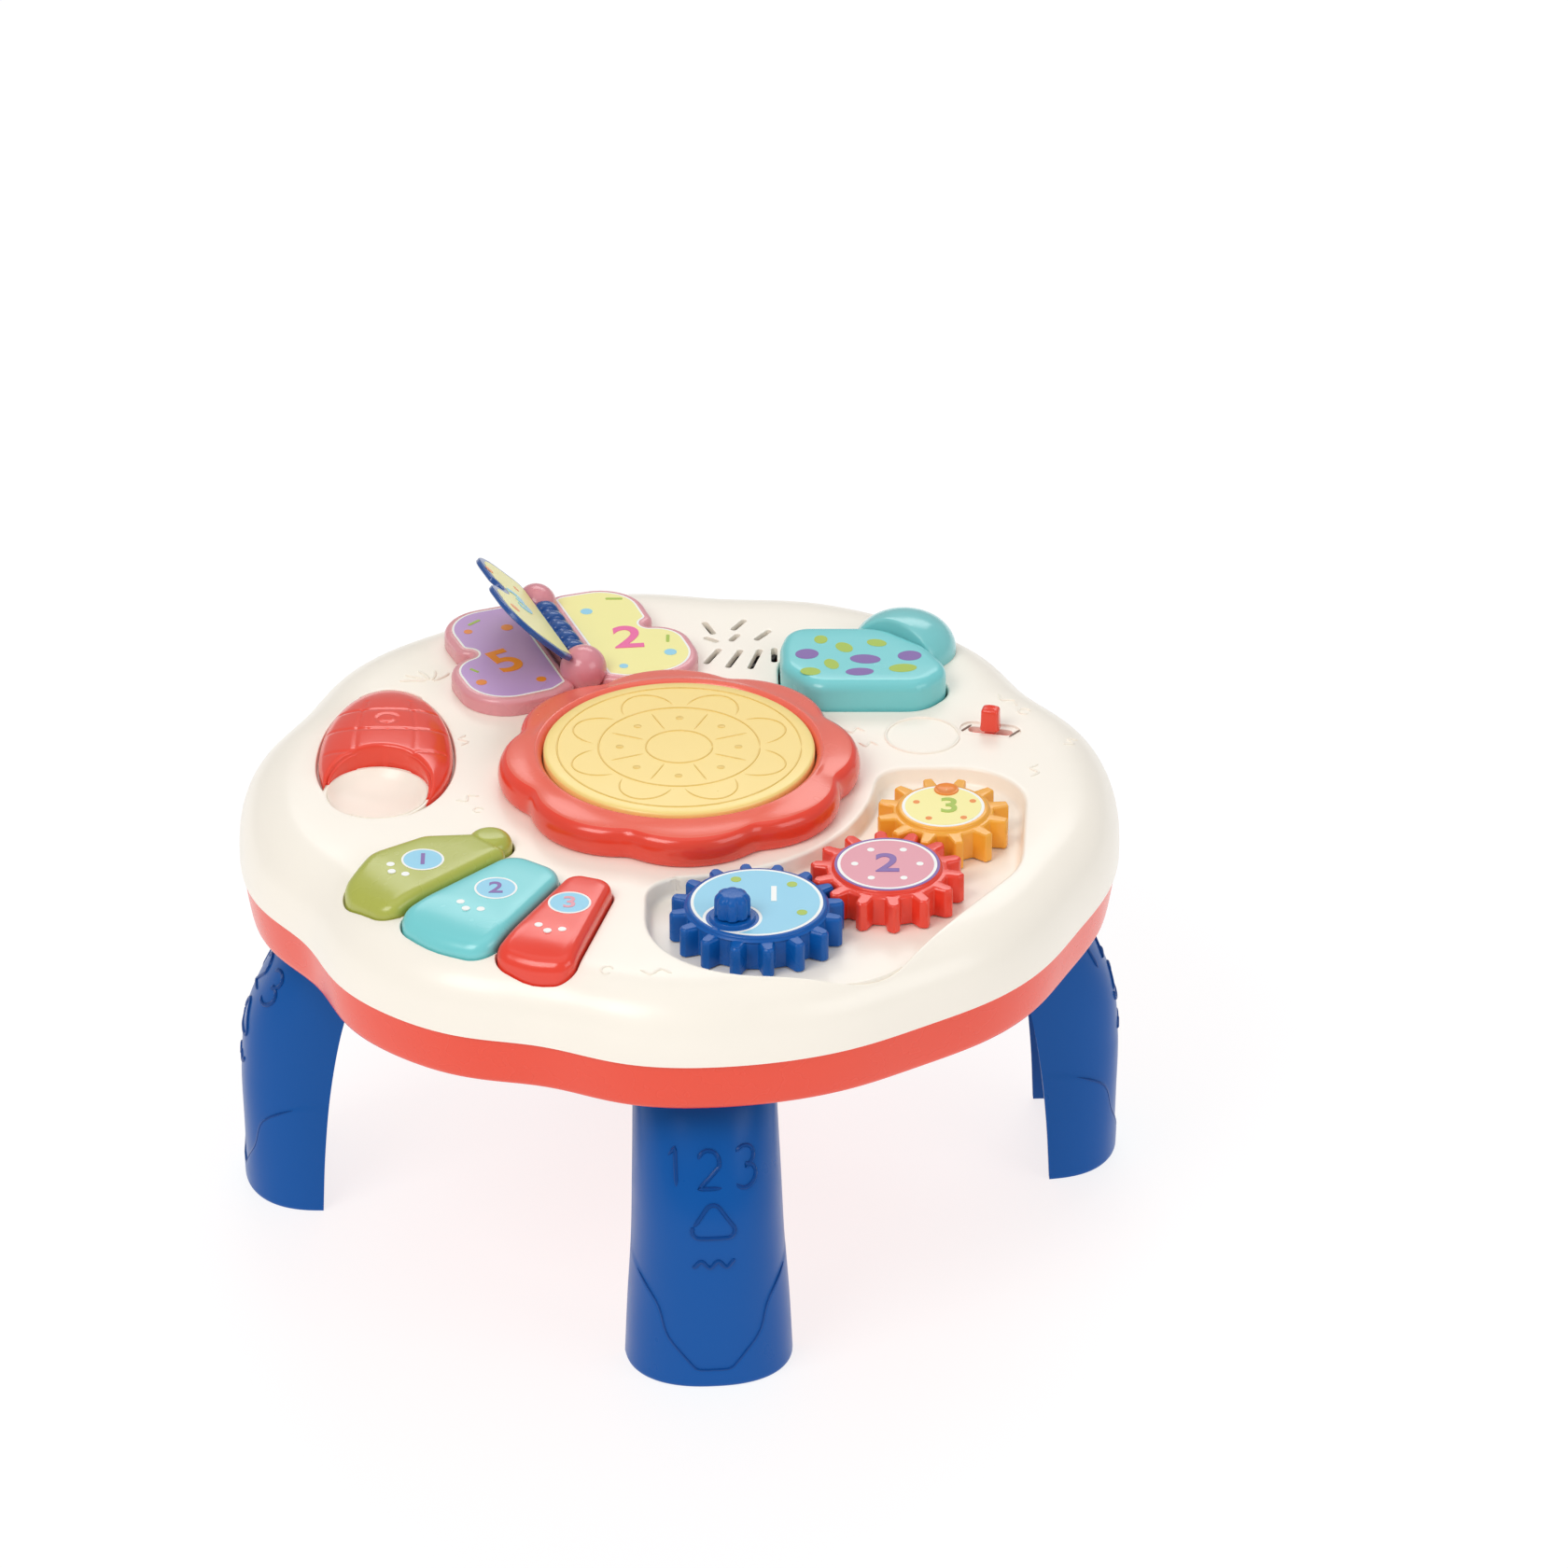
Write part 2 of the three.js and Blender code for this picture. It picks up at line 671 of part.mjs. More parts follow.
function flower(grow) {
  return radial((angle) => {
    const wave = Math.abs(Math.cos((ringLobes / 2) * (angle - radians(ringLobeAzimuthDegrees))));
    return ringLobeRadius - ringDipDepth * (1 - wave ** 0.7);
  }, ringPoints, grow);
}

function makeDrumRing() {
  const base = topZ + seat;
  const crest = topZ + drumHeight - overrun / 2;
  const body = solid(loft([
    [flower(-ringBulge), base],
    [flower(0), base + ringHeight * 0.4],
    [flower(-ringBulge / 3), base + ringHeight * 0.75],
    [flower(-ringBulge * 1.8), base + ringHeight],
    [circle(drumRadius + seat + ringSlope, ringPoints), crest],
  ]));
  const stepTop = topZ + drumHeight - drumSkirt + drumFlange + seat;
  return cut(
    body,
    solid(rod(drumRadius + seat, base - overrun, crest + overrun, largeSides)),
    solid(rod(drumRadius + drumFlange + 2 * seat, base - overrun, stepTop, largeSides)),
  );
}

function makeDrumHead() {
  const top = topZ + drumHeight;
  const skirtBottom = top - drumSkirt;
  const wall = drumHeadThickness;
  return solid(turned([
    [0, padTopZ + seat],
    [plungerRadius, padTopZ + seat],
    [plungerRadius, top - wall],
    [drumRadius - wall, top - wall],
    [drumRadius - wall, skirtBottom],
    [drumRadius + drumFlange, skirtBottom],
    [drumRadius + drumFlange, skirtBottom + drumFlange],
    [drumRadius - seat, skirtBottom + drumFlange],
    [drumRadius - seat, top - overrun],
    [drumRadius - seat - overrun, top],
    [0, top],
  ], largeSides));
}

function plungerCollar() {
  const radius = plungerRadius + runningGap + collarWall;
  return solid(rod(radius, ceilingZ - collarDepth, ceilingZ + shellWall / 4, middleSides));
}

function plungerHole() {
  return solid(rod(plungerRadius + runningGap, ceilingZ - collarDepth - overrun, topZ + overrun, largeSides));
}

// Keys. Each is drawn with its length along +X from the middle of the drum, and turned to its azimuth

function sectorCorners(halfAngle) {
  const inner = keyInnerRadius * Math.tan(halfAngle) - keyGap / 2;
  const outer = keyOuterRadius * Math.tan(halfAngle) - keyGap / 2;
  return [
    [keyInnerRadius, -inner, inner * keyInnerRoundShare],
    [keyOuterRadius, -outer, outer * keyOuterRoundShare],
    [keyOuterRadius + outer * keyNoseShare, 0, outer * keyNoseRoundShare],
    [keyOuterRadius, outer, outer * keyOuterRoundShare],
    [keyInnerRadius, inner, inner * keyInnerRoundShare],
  ];
}

function greenReach(x, y) {
  const toTeal = radians(fanLinesDegrees[0] - greenAzimuthDegrees);
  return y < 0 ? greenHalfWidth : (keyInnerRadius + x * keyLength) * Math.tan(toTeal);
}

const keys = [
  {
    name: 'green',
    azimuth: greenAzimuthDegrees,
    colour: '#9fa94f',
    corners: greenCornerShares.map(([x, y, r]) => [
      keyInnerRadius + x * keyLength, y * greenReach(x, y), r * keyLength * greenRoundShare,
    ]),
    stem: [keyInnerRadius + greenStemShares[0] * keyLength, greenStemShares[1] * greenHalfWidth],
  },
  ...['teal', 'red'].map((name, i) => ({
    name,
    azimuth: (fanLinesDegrees[i] + fanLinesDegrees[i + 1]) / 2,
    colour: ['#6cc6c9', '#e2463c'][i],
    corners: sectorCorners(radians(fanLinesDegrees[i + 1] - fanLinesDegrees[i]) / 2),
  })),
];

function pivotX(key) {
  return (key.stem ? key.stem[0] - greenStemRadius : keyInnerRadius) - pivotSetback;
}

const pivotZ = ceilingZ - pivotDrop;

function keyForm(outline, grow, top, bottom) {
  return solid(loft([
    [outline(grow), bottom],
    [outline(grow), top - keyRound],
    [outline(grow - keyRound * 0.3), top - keyRound * 0.3],
    [outline(grow - keyRound), top],
  ]));
}

function keySolid(key, grow, top, bottom) {
  const body = keyForm((more) => rounded(key.corners, more), grow, top, bottom);
  if (!key.stem) return body;
  const stem = (more) => circle(greenStemRadius + more, middleSides, ...key.stem);
  return body.add(keyForm(stem, grow, top, bottom));
}

function makeKey(key) {
  const top = topZ + keyTopRise;
  const bottom = topZ - keySkirt;
  const hollow = keySolid(key, -keyWall, top - keyWall, bottom - overrun);
  const shell = keySolid(key, 0, top, bottom).subtract(hollow);
  const armBottom = pivotZ - armHeight / 2;
  const arm = solid(bar(pivotSetback + armHeight + keyWall, armWidth, armBottom, pivotZ + armHeight / 2,
    pivotX(key) - armHeight / 2 + (pivotSetback + armHeight + keyWall) / 2, 0));
  const stop = solid(bar(keyStopLength, armWidth, pivotZ, ceilingZ - seat,
    pivotX(key) + pivotSetback - keyClearance - overrun - keyStopLength / 2, 0));
  const actuator = placeSolid(rod(actuatorRadius, padTopZ + seat, top - keyWall / 2), keyActuatorRadius, 0);
  const bore = alongY(pivotRadius + seat, armWidth + overrun * 2, pivotX(key), pivotZ);
  return join(shell, arm, stop, actuator).subtract(bore);
}

// A short cylinder along Y in the plane y = 0
function alongY(radius, length, x, z, y = 0, sides = smallSides) {
  return solid(new THREE.CylinderGeometry(radius, radius, length, sides).translate(x, y, z));
}

function turnSolid(geometry, azimuth) {
  return solid(geometry.clone().rotateZ(radians(azimuth)));
}

function keyApertures() {
  return keys.flatMap((key) => {
    const body = loft([
      [rounded(key.corners, keyClearance), topZ - keySkirt - shellWall],
      [rounded(key.corners, keyClearance), topZ + overrun],
    ]);
    const tools = [turnSolid(body, key.azimuth)];
    if (key.stem) {
      tools.push(turnSolid(loft([
        [circle(greenStemRadius + keyClearance, middleSides, ...key.stem), topZ - keySkirt - shellWall],
        [circle(greenStemRadius + keyClearance, middleSides, ...key.stem), topZ + overrun],
      ]), key.azimuth));
    }
    return tools;
  });
}

const earOffset = armWidth / 2 + earGap + earThickness / 2;

function keyEars() {
  return keys.flatMap((key) => [-earOffset, earOffset].map((y) => turnSolid(
    bar(armHeight + overrun, earThickness, pivotZ - armHeight / 2, ceilingZ + shellWall / 4, pivotX(key), y),
    key.azimuth,
  )));
}

function earHoles() {
  const radius = pivotRadius + seat;
  const length = 2 * earOffset + earThickness + overrun;
  return keys.map((key) => turnSolid(
    new THREE.CylinderGeometry(radius, radius, length, smallSides).translate(pivotX(key), 0, pivotZ), key.azimuth,
  ));
}

function makeKeyPin(key) {
  return alongY(pivotRadius, 2 * earOffset + earThickness, pivotX(key), pivotZ);
}

function makePad() {
  return solid(turned([
    [0, boardTopZ + seat], [padRadius, boardTopZ + seat], [padRadius, boardTopZ + seat + padHeight / 4],
    [padRadius * 0.6, padTopZ], [0, padTopZ],
  ], smallSides));
}

// Gears

function gearCentres() {
  const places = [[blueGearX, blueGearY]];
  gearLineDegrees.forEach((line, i) => {
    const distance = (gearModule * (gearTeeth[i] + gearTeeth[i + 1])) / 2;
    const [x, y] = places[i];
    places.push([x + distance * Math.cos(radians(line)), y + distance * Math.sin(radians(line))]);
  });
  return places;
}

// The turn of each gear that puts teeth into gaps: a tooth of the first points along the first line
function gearPhases() {
  const phases = [radians(gearLineDegrees[0])];
  gearLineDegrees.forEach((line, i) => {
    const pitch = (2 * Math.PI) / gearTeeth[i];
    const ahead = THREE.MathUtils.euclideanModulo(phases[i] - radians(line), pitch);
    const gap = radians(line) + Math.PI - (ahead * gearTeeth[i]) / gearTeeth[i + 1];
    phases.push(gap + Math.PI / gearTeeth[i + 1]);
  });
  return phases;
}

function pitchRadius(number) {
  return (gearModule * gearTeeth[number]) / 2;
}

function tipRadius(number) {
  return pitchRadius(number) + gearAddendum;
}

// Involute teeth, with the first tooth's middle at the given phase
function gearOutline(number, phase, grow) {
  const teeth = gearTeeth[number];
  const pitch = pitchRadius(number);
  const pressure = radians(gearPressureDegrees);
  const base = pitch * Math.cos(pressure);
  const involute = (angle) => Math.tan(angle) - angle;
  const tip = tipRadius(number);
  const root = pitch - gearDedendum;
  const halfAt = (radius) => {
    const slope = Math.acos(Math.min(base / Math.max(radius, base), 1));
    return Math.PI / (2 * teeth) - gearBacklash / (4 * pitch) + involute(pressure) - involute(slope);
  };
  const flank = [root, tip - gearTipRounds[number]];
  const points = [];
  for (let tooth = 0; tooth < teeth; tooth += 1) {
    const middle = phase + (2 * Math.PI * tooth) / teeth;
    const place = (radius, angle) => points.push([
      (radius + grow) * Math.cos(angle), (radius + grow) * Math.sin(angle),
    ]);
    flank.forEach((radius) => place(radius, middle - halfAt(radius)));
    place(tip, middle - halfAt(tip) / 3);
    place(tip, middle + halfAt(tip) / 3);
    [...flank].reverse().forEach((radius) => place(radius, middle + halfAt(radius)));
  }
  return points;
}

function gearRecessOutline(grow) {
  const centres = gearCentres();
  const outer = gearRecessShares.map(([gear, x, y, r]) => {
    const reach = tipRadius(gear) + gearRecessReach;
    return [centres[gear][0] + x * reach, centres[gear][1] + y * reach, r * reach];
  });
  const inner = gearRecessInnerDegrees.map((azimuth) => [
    gearRecessInnerRadius * Math.cos(radians(azimuth)), gearRecessInnerRadius * Math.sin(radians(azimuth)), 0,
  ]);
  return rounded([...outer, ...inner], grow, cornerSteps + 1);
}

const gearFloorZ = topZ - gearRecessDepth;
const gearBottomZ = gearFloorZ + runningGap;
const gearTopZ = gearBottomZ + gearThickness;
const hubEndZ = gearFloorZ - shellWall - runningGap;

function makeGear(number) {
  const phase = gearPhases()[number];
  const ring = (grow) => gearOutline(number, phase, grow);
  const label = gearLabelRadii[number];
  const wheel = solid(loft([[ring(0), gearBottomZ], [ring(0), gearTopZ]]));
  const hub = solid(rod(hubRadius, hubEndZ, gearBottomZ + gearThickness / 2));
  const disc = solid(turned([
    [0, gearTopZ - gearThickness / 2], [label, gearTopZ - gearThickness / 2],
    [label, gearTopZ + gearLabelRise / 2], [label - gearBevel, gearTopZ + gearLabelRise],
    [0, gearTopZ + gearLabelRise],
  ], largeSides));
  const pilot = solid(rod(screwShank + seat, hubEndZ - overrun, gearBottomZ + gearThickness / 2));
  const gear = join(wheel, hub, disc);
  if (number > 0) return gear.subtract(pilot);
  const top = gearTopZ + gearLabelRise;
  const onKnobPlace = (radius, above, sides) => placeSolid(
    rod(radius, gearTopZ, top + above, sides), knobOffsetX, knobOffsetY,
  );
  const post = onKnobPlace(knobPostRadius, knobHeight * 0.7, middleSides);
  const collar = onKnobPlace(knobCollarRadius, knobCollarHeight, middleSides);
  return join(gear, post, collar).subtract(pilot);
}

function makeKnob() {
  const base = gearTopZ + gearLabelRise + knobCollarHeight + seat;
  const top = gearTopZ + gearLabelRise + knobHeight;
  const fluted = (grow) => radial((angle) => (
    knobRadius - knobFlute * (1 - Math.abs(Math.cos((knobFlutes / 2) * angle)))
  ), knobFlutes * 4, grow);
  const body = solid(loft([
    [fluted(-gearBevel / 2), base], [fluted(0), base + gearBevel], [fluted(0), top - gearBevel * 2],
    [fluted(-gearBevel), top - gearBevel / 2], [fluted(-gearBevel * 2.5), top],
  ]));
  const boreTop = gearTopZ + gearLabelRise + knobHeight * 0.7 + seat;
  const bore = solid(rod(knobPostRadius + seat, base - overrun, boreTop, middleSides));
  return body.subtract(bore);
}

function hubHoles() {
  return gearCentres().map(([x, y]) => placeSolid(
    rod(hubRadius + hubClearance, hubEndZ - overrun, gearFloorZ + overrun, middleSides), x, y,
  ));
}

function makeRetainer() {
  const flangeTop = hubEndZ - seat;
  return solid(turned([
    [0, flangeTop - 2 * screwHeadHeight], [screwHead, flangeTop - 2 * screwHeadHeight],
    [screwHead, flangeTop - screwHeadHeight * 0.7], [retainerFlange, flangeTop - screwHeadHeight * 0.7],
    [retainerFlange, flangeTop], [screwShank, flangeTop],
    [screwShank, gearBottomZ + gearThickness / 2 - overrun], [0, gearBottomZ + gearThickness / 2 - overrun],
  ], smallSides));
}

// Butterfly

function wingOutline(side, grow) {
  const corners = wingCornerShares.map(([x, y, r]) => [side * x * wingReach, y * wingLength, r * wingReach]);
  return rounded(side > 0 ? corners : corners.reverse(), grow);
}

const wingBottomZ = topZ - wingSink + seat;
const wingTopZ = wingBottomZ + wingHeight;
const hingeZ = topZ + hingeHeight;
const hingeStart = headY + headRadius * 0.75;
const hingeEnd = tailY - tailRadius * 0.75;

function butterflyTurn(geometry) {
  return solid(geometry.clone().rotateZ(radians(butterflyTurnDegrees)).translate(butterflyX, butterflyY, 0));
}

function wingRecess() {
  const tools = [-1, 1].map((side) => butterflyTurn(loft([
    [wingOutline(side, 2 * seat), topZ - wingSink], [wingOutline(side, 2 * seat), topZ + overrun],
  ])));
  const middle = butterflyTurn(bar(
    2 * (headRadius + seat), tailY - headY + 2 * seat, topZ - wingSink, topZ + overrun, 0, (tailY + headY) / 2,
  ));
  return join(...tools, middle);
}

function ball(radius, y, stretch) {
  const sphere = new THREE.SphereGeometry(radius, middleSides, smallSides).scale(1, stretch, 1);
  return solid(sphere.translate(0, y, hingeZ - overrun / 2));
}

function makeButterflyBase() {
  const wings = [-1, 1].map((side) => solid(loft([
    [wingOutline(side, 0), wingBottomZ],
    [wingOutline(side, 0), wingTopZ - wingRound],
    [wingOutline(side, -wingRound * 0.4), wingTopZ - wingRound * 0.35],
    [wingOutline(side, -wingRound), wingTopZ],
  ])));
  const bodyLength = tailY - headY;
  const middle = solid(bar(
    2 * headRadius, bodyLength, wingBottomZ, wingTopZ - wingRound, 0, (tailY + headY) / 2,
  ));
  const slab = solid(bar(4 * headRadius, 4 * wingLength, wingBottomZ, hingeZ + 4 * headRadius));
  const ends = join(ball(headRadius, headY, 1), ball(tailRadius, tailY, tailStretch)).intersect(slab);
  const troughRadius = barrelRadius + barrelRibRise + runningGap;
  const troughLength = hingeEnd - hingeStart;
  const troughY = (hingeStart + hingeEnd) / 2;
  const trough = alongY(troughRadius, troughLength, 0, hingeZ, troughY, middleSides);
  const slot = solid(bar(2 * troughRadius, troughLength, hingeZ, hingeZ + 4 * headRadius, 0, troughY));
  const pinEnd = tailY + 2 * tailRadius;
  const bore = alongY(pagePinRadius + seat, pinEnd - headY, 0, hingeZ, (headY + pinEnd) / 2);
  return cut(join(...wings, middle, ends), trough, slot, bore);
}

// The page stands in the plane of its hinge, drawn flat over the wing at -X with its hinge on the Y axis
function pageOutline(grow) {
  return wingOutline(-1, grow - pageInset);
}

function makePage() {
  const half = pageThickness / 2;
  const leaf = solid(loft([
    [pageOutline(-half / 2), -half], [pageOutline(0), -half / 2],
    [pageOutline(0), half / 2], [pageOutline(-half / 2), half],
  ]));
  const length = hingeEnd - hingeStart - 2 * runningGap;
  const middle = (hingeStart + hingeEnd) / 2;
  const root = solid(bar(wingReach * 0.4, length * 0.86, -half, half, -wingReach * 0.2, middle));
  const barrel = alongY(barrelRadius, length, 0, 0, middle, bossSides);
  const pitch = length / barrelRibs;
  const ribs = Array.from({ length: barrelRibs }, (_, i) => alongY(
    barrelRadius + barrelRibRise, pitch / 2, 0, 0, middle - length / 2 + pitch * (i + 0.5), bossSides,
  ));
  const trim = solid(bar(4 * wingReach, (wingLength + headRadius) * 2, -wingReach, wingReach, 0, 0))
    .subtract(solid(bar(2 * (headRadius + runningGap), 4 * wingLength, -wingReach, wingReach)));
  const clearOfBody = leaf.intersect(trim);
  const bore = alongY(pagePinRadius + seat, length + overrun * 2, 0, 0, middle);
  return cut(join(clearOfBody, root, barrel, ...ribs), bore);
}

function makePagePin() {
  return alongY(pagePinRadius, tailY - headY, 0, 0, (headY + tailY) / 2 + overrun);
}

// Button and lamp dome

function buttonOutline(grow) {
  return rounded(buttonCornerShares.map(([x, y, r]) => [
    buttonX + x * buttonHalfWidth, buttonY + y * buttonHalfDepth, r * buttonHalfDepth,
  ]), grow);
}

function makeButton() {
  const top = topZ + buttonRise;
  const bottom = topZ - buttonSkirt;
  const flangeTop = ceilingZ - seat;
  const body = solid(loft([
    [buttonOutline(0), bottom], [buttonOutline(0), topZ], [buttonOutline(-overrun), top - buttonRound],
    [buttonOutline(-overrun - buttonRound * 0.3), top - buttonRound * 0.35],
    [buttonOutline(-overrun - buttonRound), top],
  ]));
  const flange = solid(loft([
    [buttonOutline(buttonFlange), flangeTop - buttonWall], [buttonOutline(buttonFlange), flangeTop],
  ]));
  const hollow = solid(loft([
    [buttonOutline(-buttonWall), bottom - overrun], [buttonOutline(-buttonWall), topZ],
    [buttonOutline(-buttonWall - buttonRound), top - buttonWall],
  ]));
  const actuator = placeSolid(rod(actuatorRadius, padTopZ + seat, top - buttonWall / 2), buttonX, buttonY);
  return join(cut(join(body, flange), hollow), actuator);
}

function buttonAperture() {
  return solid(loft([
    [buttonOutline(buttonClearance), ceilingZ - overrun], [buttonOutline(buttonClearance), topZ + overrun],
  ]));
}

function domeForm(outline, x, y, base, height) {
  const rings = [[outline, base]];
  for (let k = 1; k <= domeSteps; k += 1) {
    const angle = (Math.PI / 2) * (k / (domeSteps + 0.6));
    rings.push([scaleOutline(outline, Math.cos(angle), x, y), base + height * Math.sin(angle)]);
  }
  return solid(loft(rings));
}

function makeLampDome() {
  const base = topZ + seat;
  const bulk = (grow) => solid(loft([
    [buttonOutline(grow), base - overrun], [buttonOutline(grow), base + domeHeight * 2],
  ]));
  const bubble = (radius, bottom, height, clearance) => (
    domeForm(circle(radius, largeSides, domeX, domeY), domeX, domeY, bottom, height).subtract(bulk(clearance))
  );
  return bubble(domeRadius, base, domeHeight, buttonClearance)
    .subtract(bubble(domeRadius - domeWall, base - seat, domeHeight - domeWall, buttonClearance + domeWall));
}

function lampHole() {
  return placeSolid(rod(ledRadius + seat, ceilingZ - overrun, topZ + overrun, middleSides), lampX, lampY);
}

const lampX = domeX + domeRadius * 0.04;
const lampY = domeY + domeRadius * 0.04;

function makeLed() {
  const flange = ceilingZ - seat;
  return placeSolid(turned([
    [0, flange - ledRadius], [ledRadius * 1.3, flange - ledRadius], [ledRadius * 1.3, flange],
    [ledRadius, flange], [ledRadius, topZ + ledRadius], [ledRadius * 0.7, topZ + 1.7 * ledRadius],
    [0, topZ + 2 * ledRadius],
  ], smallSides), lampX, lampY);
}

// Lid, its well and the finger bowl

function lidOutline(grow) {
  return Array.from({ length: largeSides }, (_, i) => {
    const angle = (2 * Math.PI * i) / largeSides;
    const reach = (Math.sin(angle) > 0 ? lidBack : lidFront) + grow;
    return [lidX + (lidHalfWidth + grow) * Math.cos(angle), lidY + reach * Math.sin(angle)];
  });
}

const lidHingeY = lidY + lidBack - lidHingeSetback;
const lidHingeZ = topZ - lidHingeDrop;
const lidEarOffset = lidKnuckleWidth / 2 + earGap + earThickness / 2;

function alongX(radius, length, x, y, z, sides = smallSides) {
  const form = new THREE.CylinderGeometry(radius, radius, length, sides);
  return solid(form.rotateZ(Math.PI / 2).translate(x, y, z));
}

function lidDome(grow, base, height) {
  const skirtTop = topZ + seat;
  const outline = lidOutline(grow);
  const rings = [[outline, base], [outline, skirtTop]];
  for (let k = 1; k <= domeSteps; k += 1) {
    const angle = (Math.PI / 2) * (k / (domeSteps + 0.6));
    rings.push([scaleOutline(outline, Math.cos(angle), lidX, lidY), skirtTop + height * Math.sin(angle)]);
  }
  return solid(loft(rings));
}

function makeLid() {
  const base = topZ - lidSink;
  const bite = (radius) => placeSolid(
    rod(radius, base - 2 * overrun, topZ + 2 * lidHeight, largeSides), bowlX, bowlY,
  );
  const biteRadius = bowlRadius + bowlRim + runningGap;
  const outer = lidDome(0, base, lidHeight).subtract(bite(biteRadius));
  const inner = lidDome(-lidWall, base - overrun, lidHeight - lidWall).subtract(bite(biteRadius + lidWall));
  const shell = outer.subtract(inner);
  const barrel = alongX(lidBarrelRadius, lidKnuckleWidth, lidX, lidHingeY, lidHingeZ);
  const web = solid(bar(
    lidKnuckleWidth, lidBarrelRadius, lidHingeZ, topZ + lidHeight, lidX, lidHingeY - lidBarrelRadius / 2,
  ));
  const knuckle = join(barrel, web.intersect(outer));
  return cut(join(cut(shell, ...lidEars(3 * runningGap)), knuckle), ...lidEarHoles());
}

function lidEars(grow) {
  return [-lidEarOffset, lidEarOffset].map((x) => solid(bar(
    earThickness + 2 * grow, 2 * (lidBarrelRadius + grow), topZ - lidWellDepth - shellWall / 2,
    lidHingeZ + lidBarrelRadius + grow, lidX + x, lidHingeY,
  )));
}

function lidEarHoles() {
  return [alongX(lidPinRadius + seat, 2 * (lidEarOffset + earThickness), lidX, lidHingeY, lidHingeZ)];
}

function makeLidPin() {
  return alongX(lidPinRadius, 2 * lidEarOffset + earThickness, lidX, lidHingeY, lidHingeZ);
}

// The well under the lid, with a ledge that the lid's skirt rests on, a deeper bay for its hinge, and the bowl's
// round wall standing in its front
function makeLidWell() {
  const floor = topZ - lidWellDepth;
  const bayDepth = lidHingeSetback + lidBarrelRadius + lidBayReach + 2 * lidClearance;
  const bayWidth = 2 * lidEarOffset + earThickness + 8 * lidClearance;
  const bay = (grow) => bar(
    bayWidth + 2 * grow, bayDepth + 2 * grow, floor - grow, topZ + overrun,
    lidX, lidY + lidBack + lidBayReach - bayDepth / 2,
  );
  const ledgeZ = topZ - lidSink - seat;
  const below = solid(bar(2 * tableRadius, 2 * tableRadius, 0, ceilingZ + shellWall / 4));
  const bowlRing = (bottom, top) => (
    placeSolid(rod(bowlRadius + bowlRim, bottom, top, largeSides), bowlX, bowlY)
  );
  const prism = (grow, bottom, top) => solid(loft([[lidOutline(grow), bottom], [lidOutline(grow), top]]));
  const walls = [
    prism(shellWall - lidLedge, floor - shellWall, ceilingZ + shellWall / 4),
    prism(shellWall + lidClearance, ledgeZ - shellWall, ceilingZ + shellWall / 4),
    solid(bay(shellWall)).intersect(below).intersect(prism(lidBayReach + shellWall, floor - shellWall, topZ)),
    bowlRing(floor - shellWall, topZ),
  ];
  const hollow = join(
    prism(-lidLedge, floor, topZ + overrun),
    solid(loft([
      [lidOutline(lidClearance), ledgeZ], [lidOutline(lidClearance), topZ - edgeEase],
      [lidOutline(lidClearance + edgeEase + overrun), topZ + overrun],
    ])),
    solid(bay(0)).intersect(prism(lidBayReach, floor - shellWall, topZ + overrun)),
  ).subtract(bowlRing(floor - overrun, topZ + 2 * overrun));
  return { walls, hollow };
}

function bowlHollow() {
  return placeSolid(turned([
    [0, topZ - bowlDepth], [bowlRadius * 0.55, topZ - bowlDepth * 0.9],
    [bowlRadius * 0.88, topZ - bowlDepth * 0.55],
    [bowlRadius, topZ], [bowlRadius + overrun, topZ + overrun], [0, topZ + overrun],
  ], largeSides), bowlX, bowlY);
}

// Slide switch

function switchPlace(geometry) {
  return solid(geometry.clone().rotateZ(radians(switchTurnDegrees)).translate(switchX, switchY, 0));
}

function switchSlotLength() {
  return switchKnobLength + 2 * switchTravel + 2 * runningGap;
}

function switchCuts() {
  const track = rounded([
    [-switchTrackLength / 2, -switchTrackWidth / 2, switchTrackWidth / 2.2],
    [switchTrackLength / 2, -switchTrackWidth / 2, switchTrackWidth / 2.2],
    [switchTrackLength / 2, switchTrackWidth / 2, switchTrackWidth / 2.2],
    [-switchTrackLength / 2, switchTrackWidth / 2, switchTrackWidth / 2.2],
  ]);
  return [
    switchPlace(loft([[track, topZ - switchTrackDepth], [track, topZ + overrun]])),
    switchPlace(bar(switchSlotLength(), switchNeckWidth + 2 * runningGap, ceilingZ - overrun, topZ + overrun)),
  ];
}

const switchPlateZ = ceilingZ - seat - switchPlateThickness;

function makeSlider() {
  const trackZ = topZ - switchTrackDepth + seat;
  const half = switchKnobLength / 2;
  const across = switchKnobWidth / 2;
  const cap = (grow) => rounded([
    [-half, -across, across / 2], [half, -across, across / 2],
    [half, across, across / 2], [-half, across, across / 2],
  ], grow);
  const knob = solid(loft([
    [cap(0), trackZ], [cap(-overrun / 2), topZ + switchKnobHeight * 0.8],
    [cap(-overrun), topZ + switchKnobHeight * 0.95], [cap(-overrun * 1.6), topZ + switchKnobHeight],
  ]));
  const neck = solid(bar(switchKnobLength - overrun, switchNeckWidth, switchPlateZ, topZ));
  const plateTop = switchPlateZ + switchPlateThickness;
  const plate = solid(bar(switchPlateLength, switchPlateWidth, switchPlateZ, plateTop));
  const forkBottom = switchBodyTopZ() + seat;
  const fork = solid(bar(switchNeckWidth, switchNeckWidth, forkBottom, switchPlateZ + overrun / 2));
  return join(knob, neck, plate, fork);
}

function switchBodyTopZ() {
  return switchPlateZ - 2 * switchPlateThickness;
}

const switchPostX = switchTrackLength / 2 + postRadius;

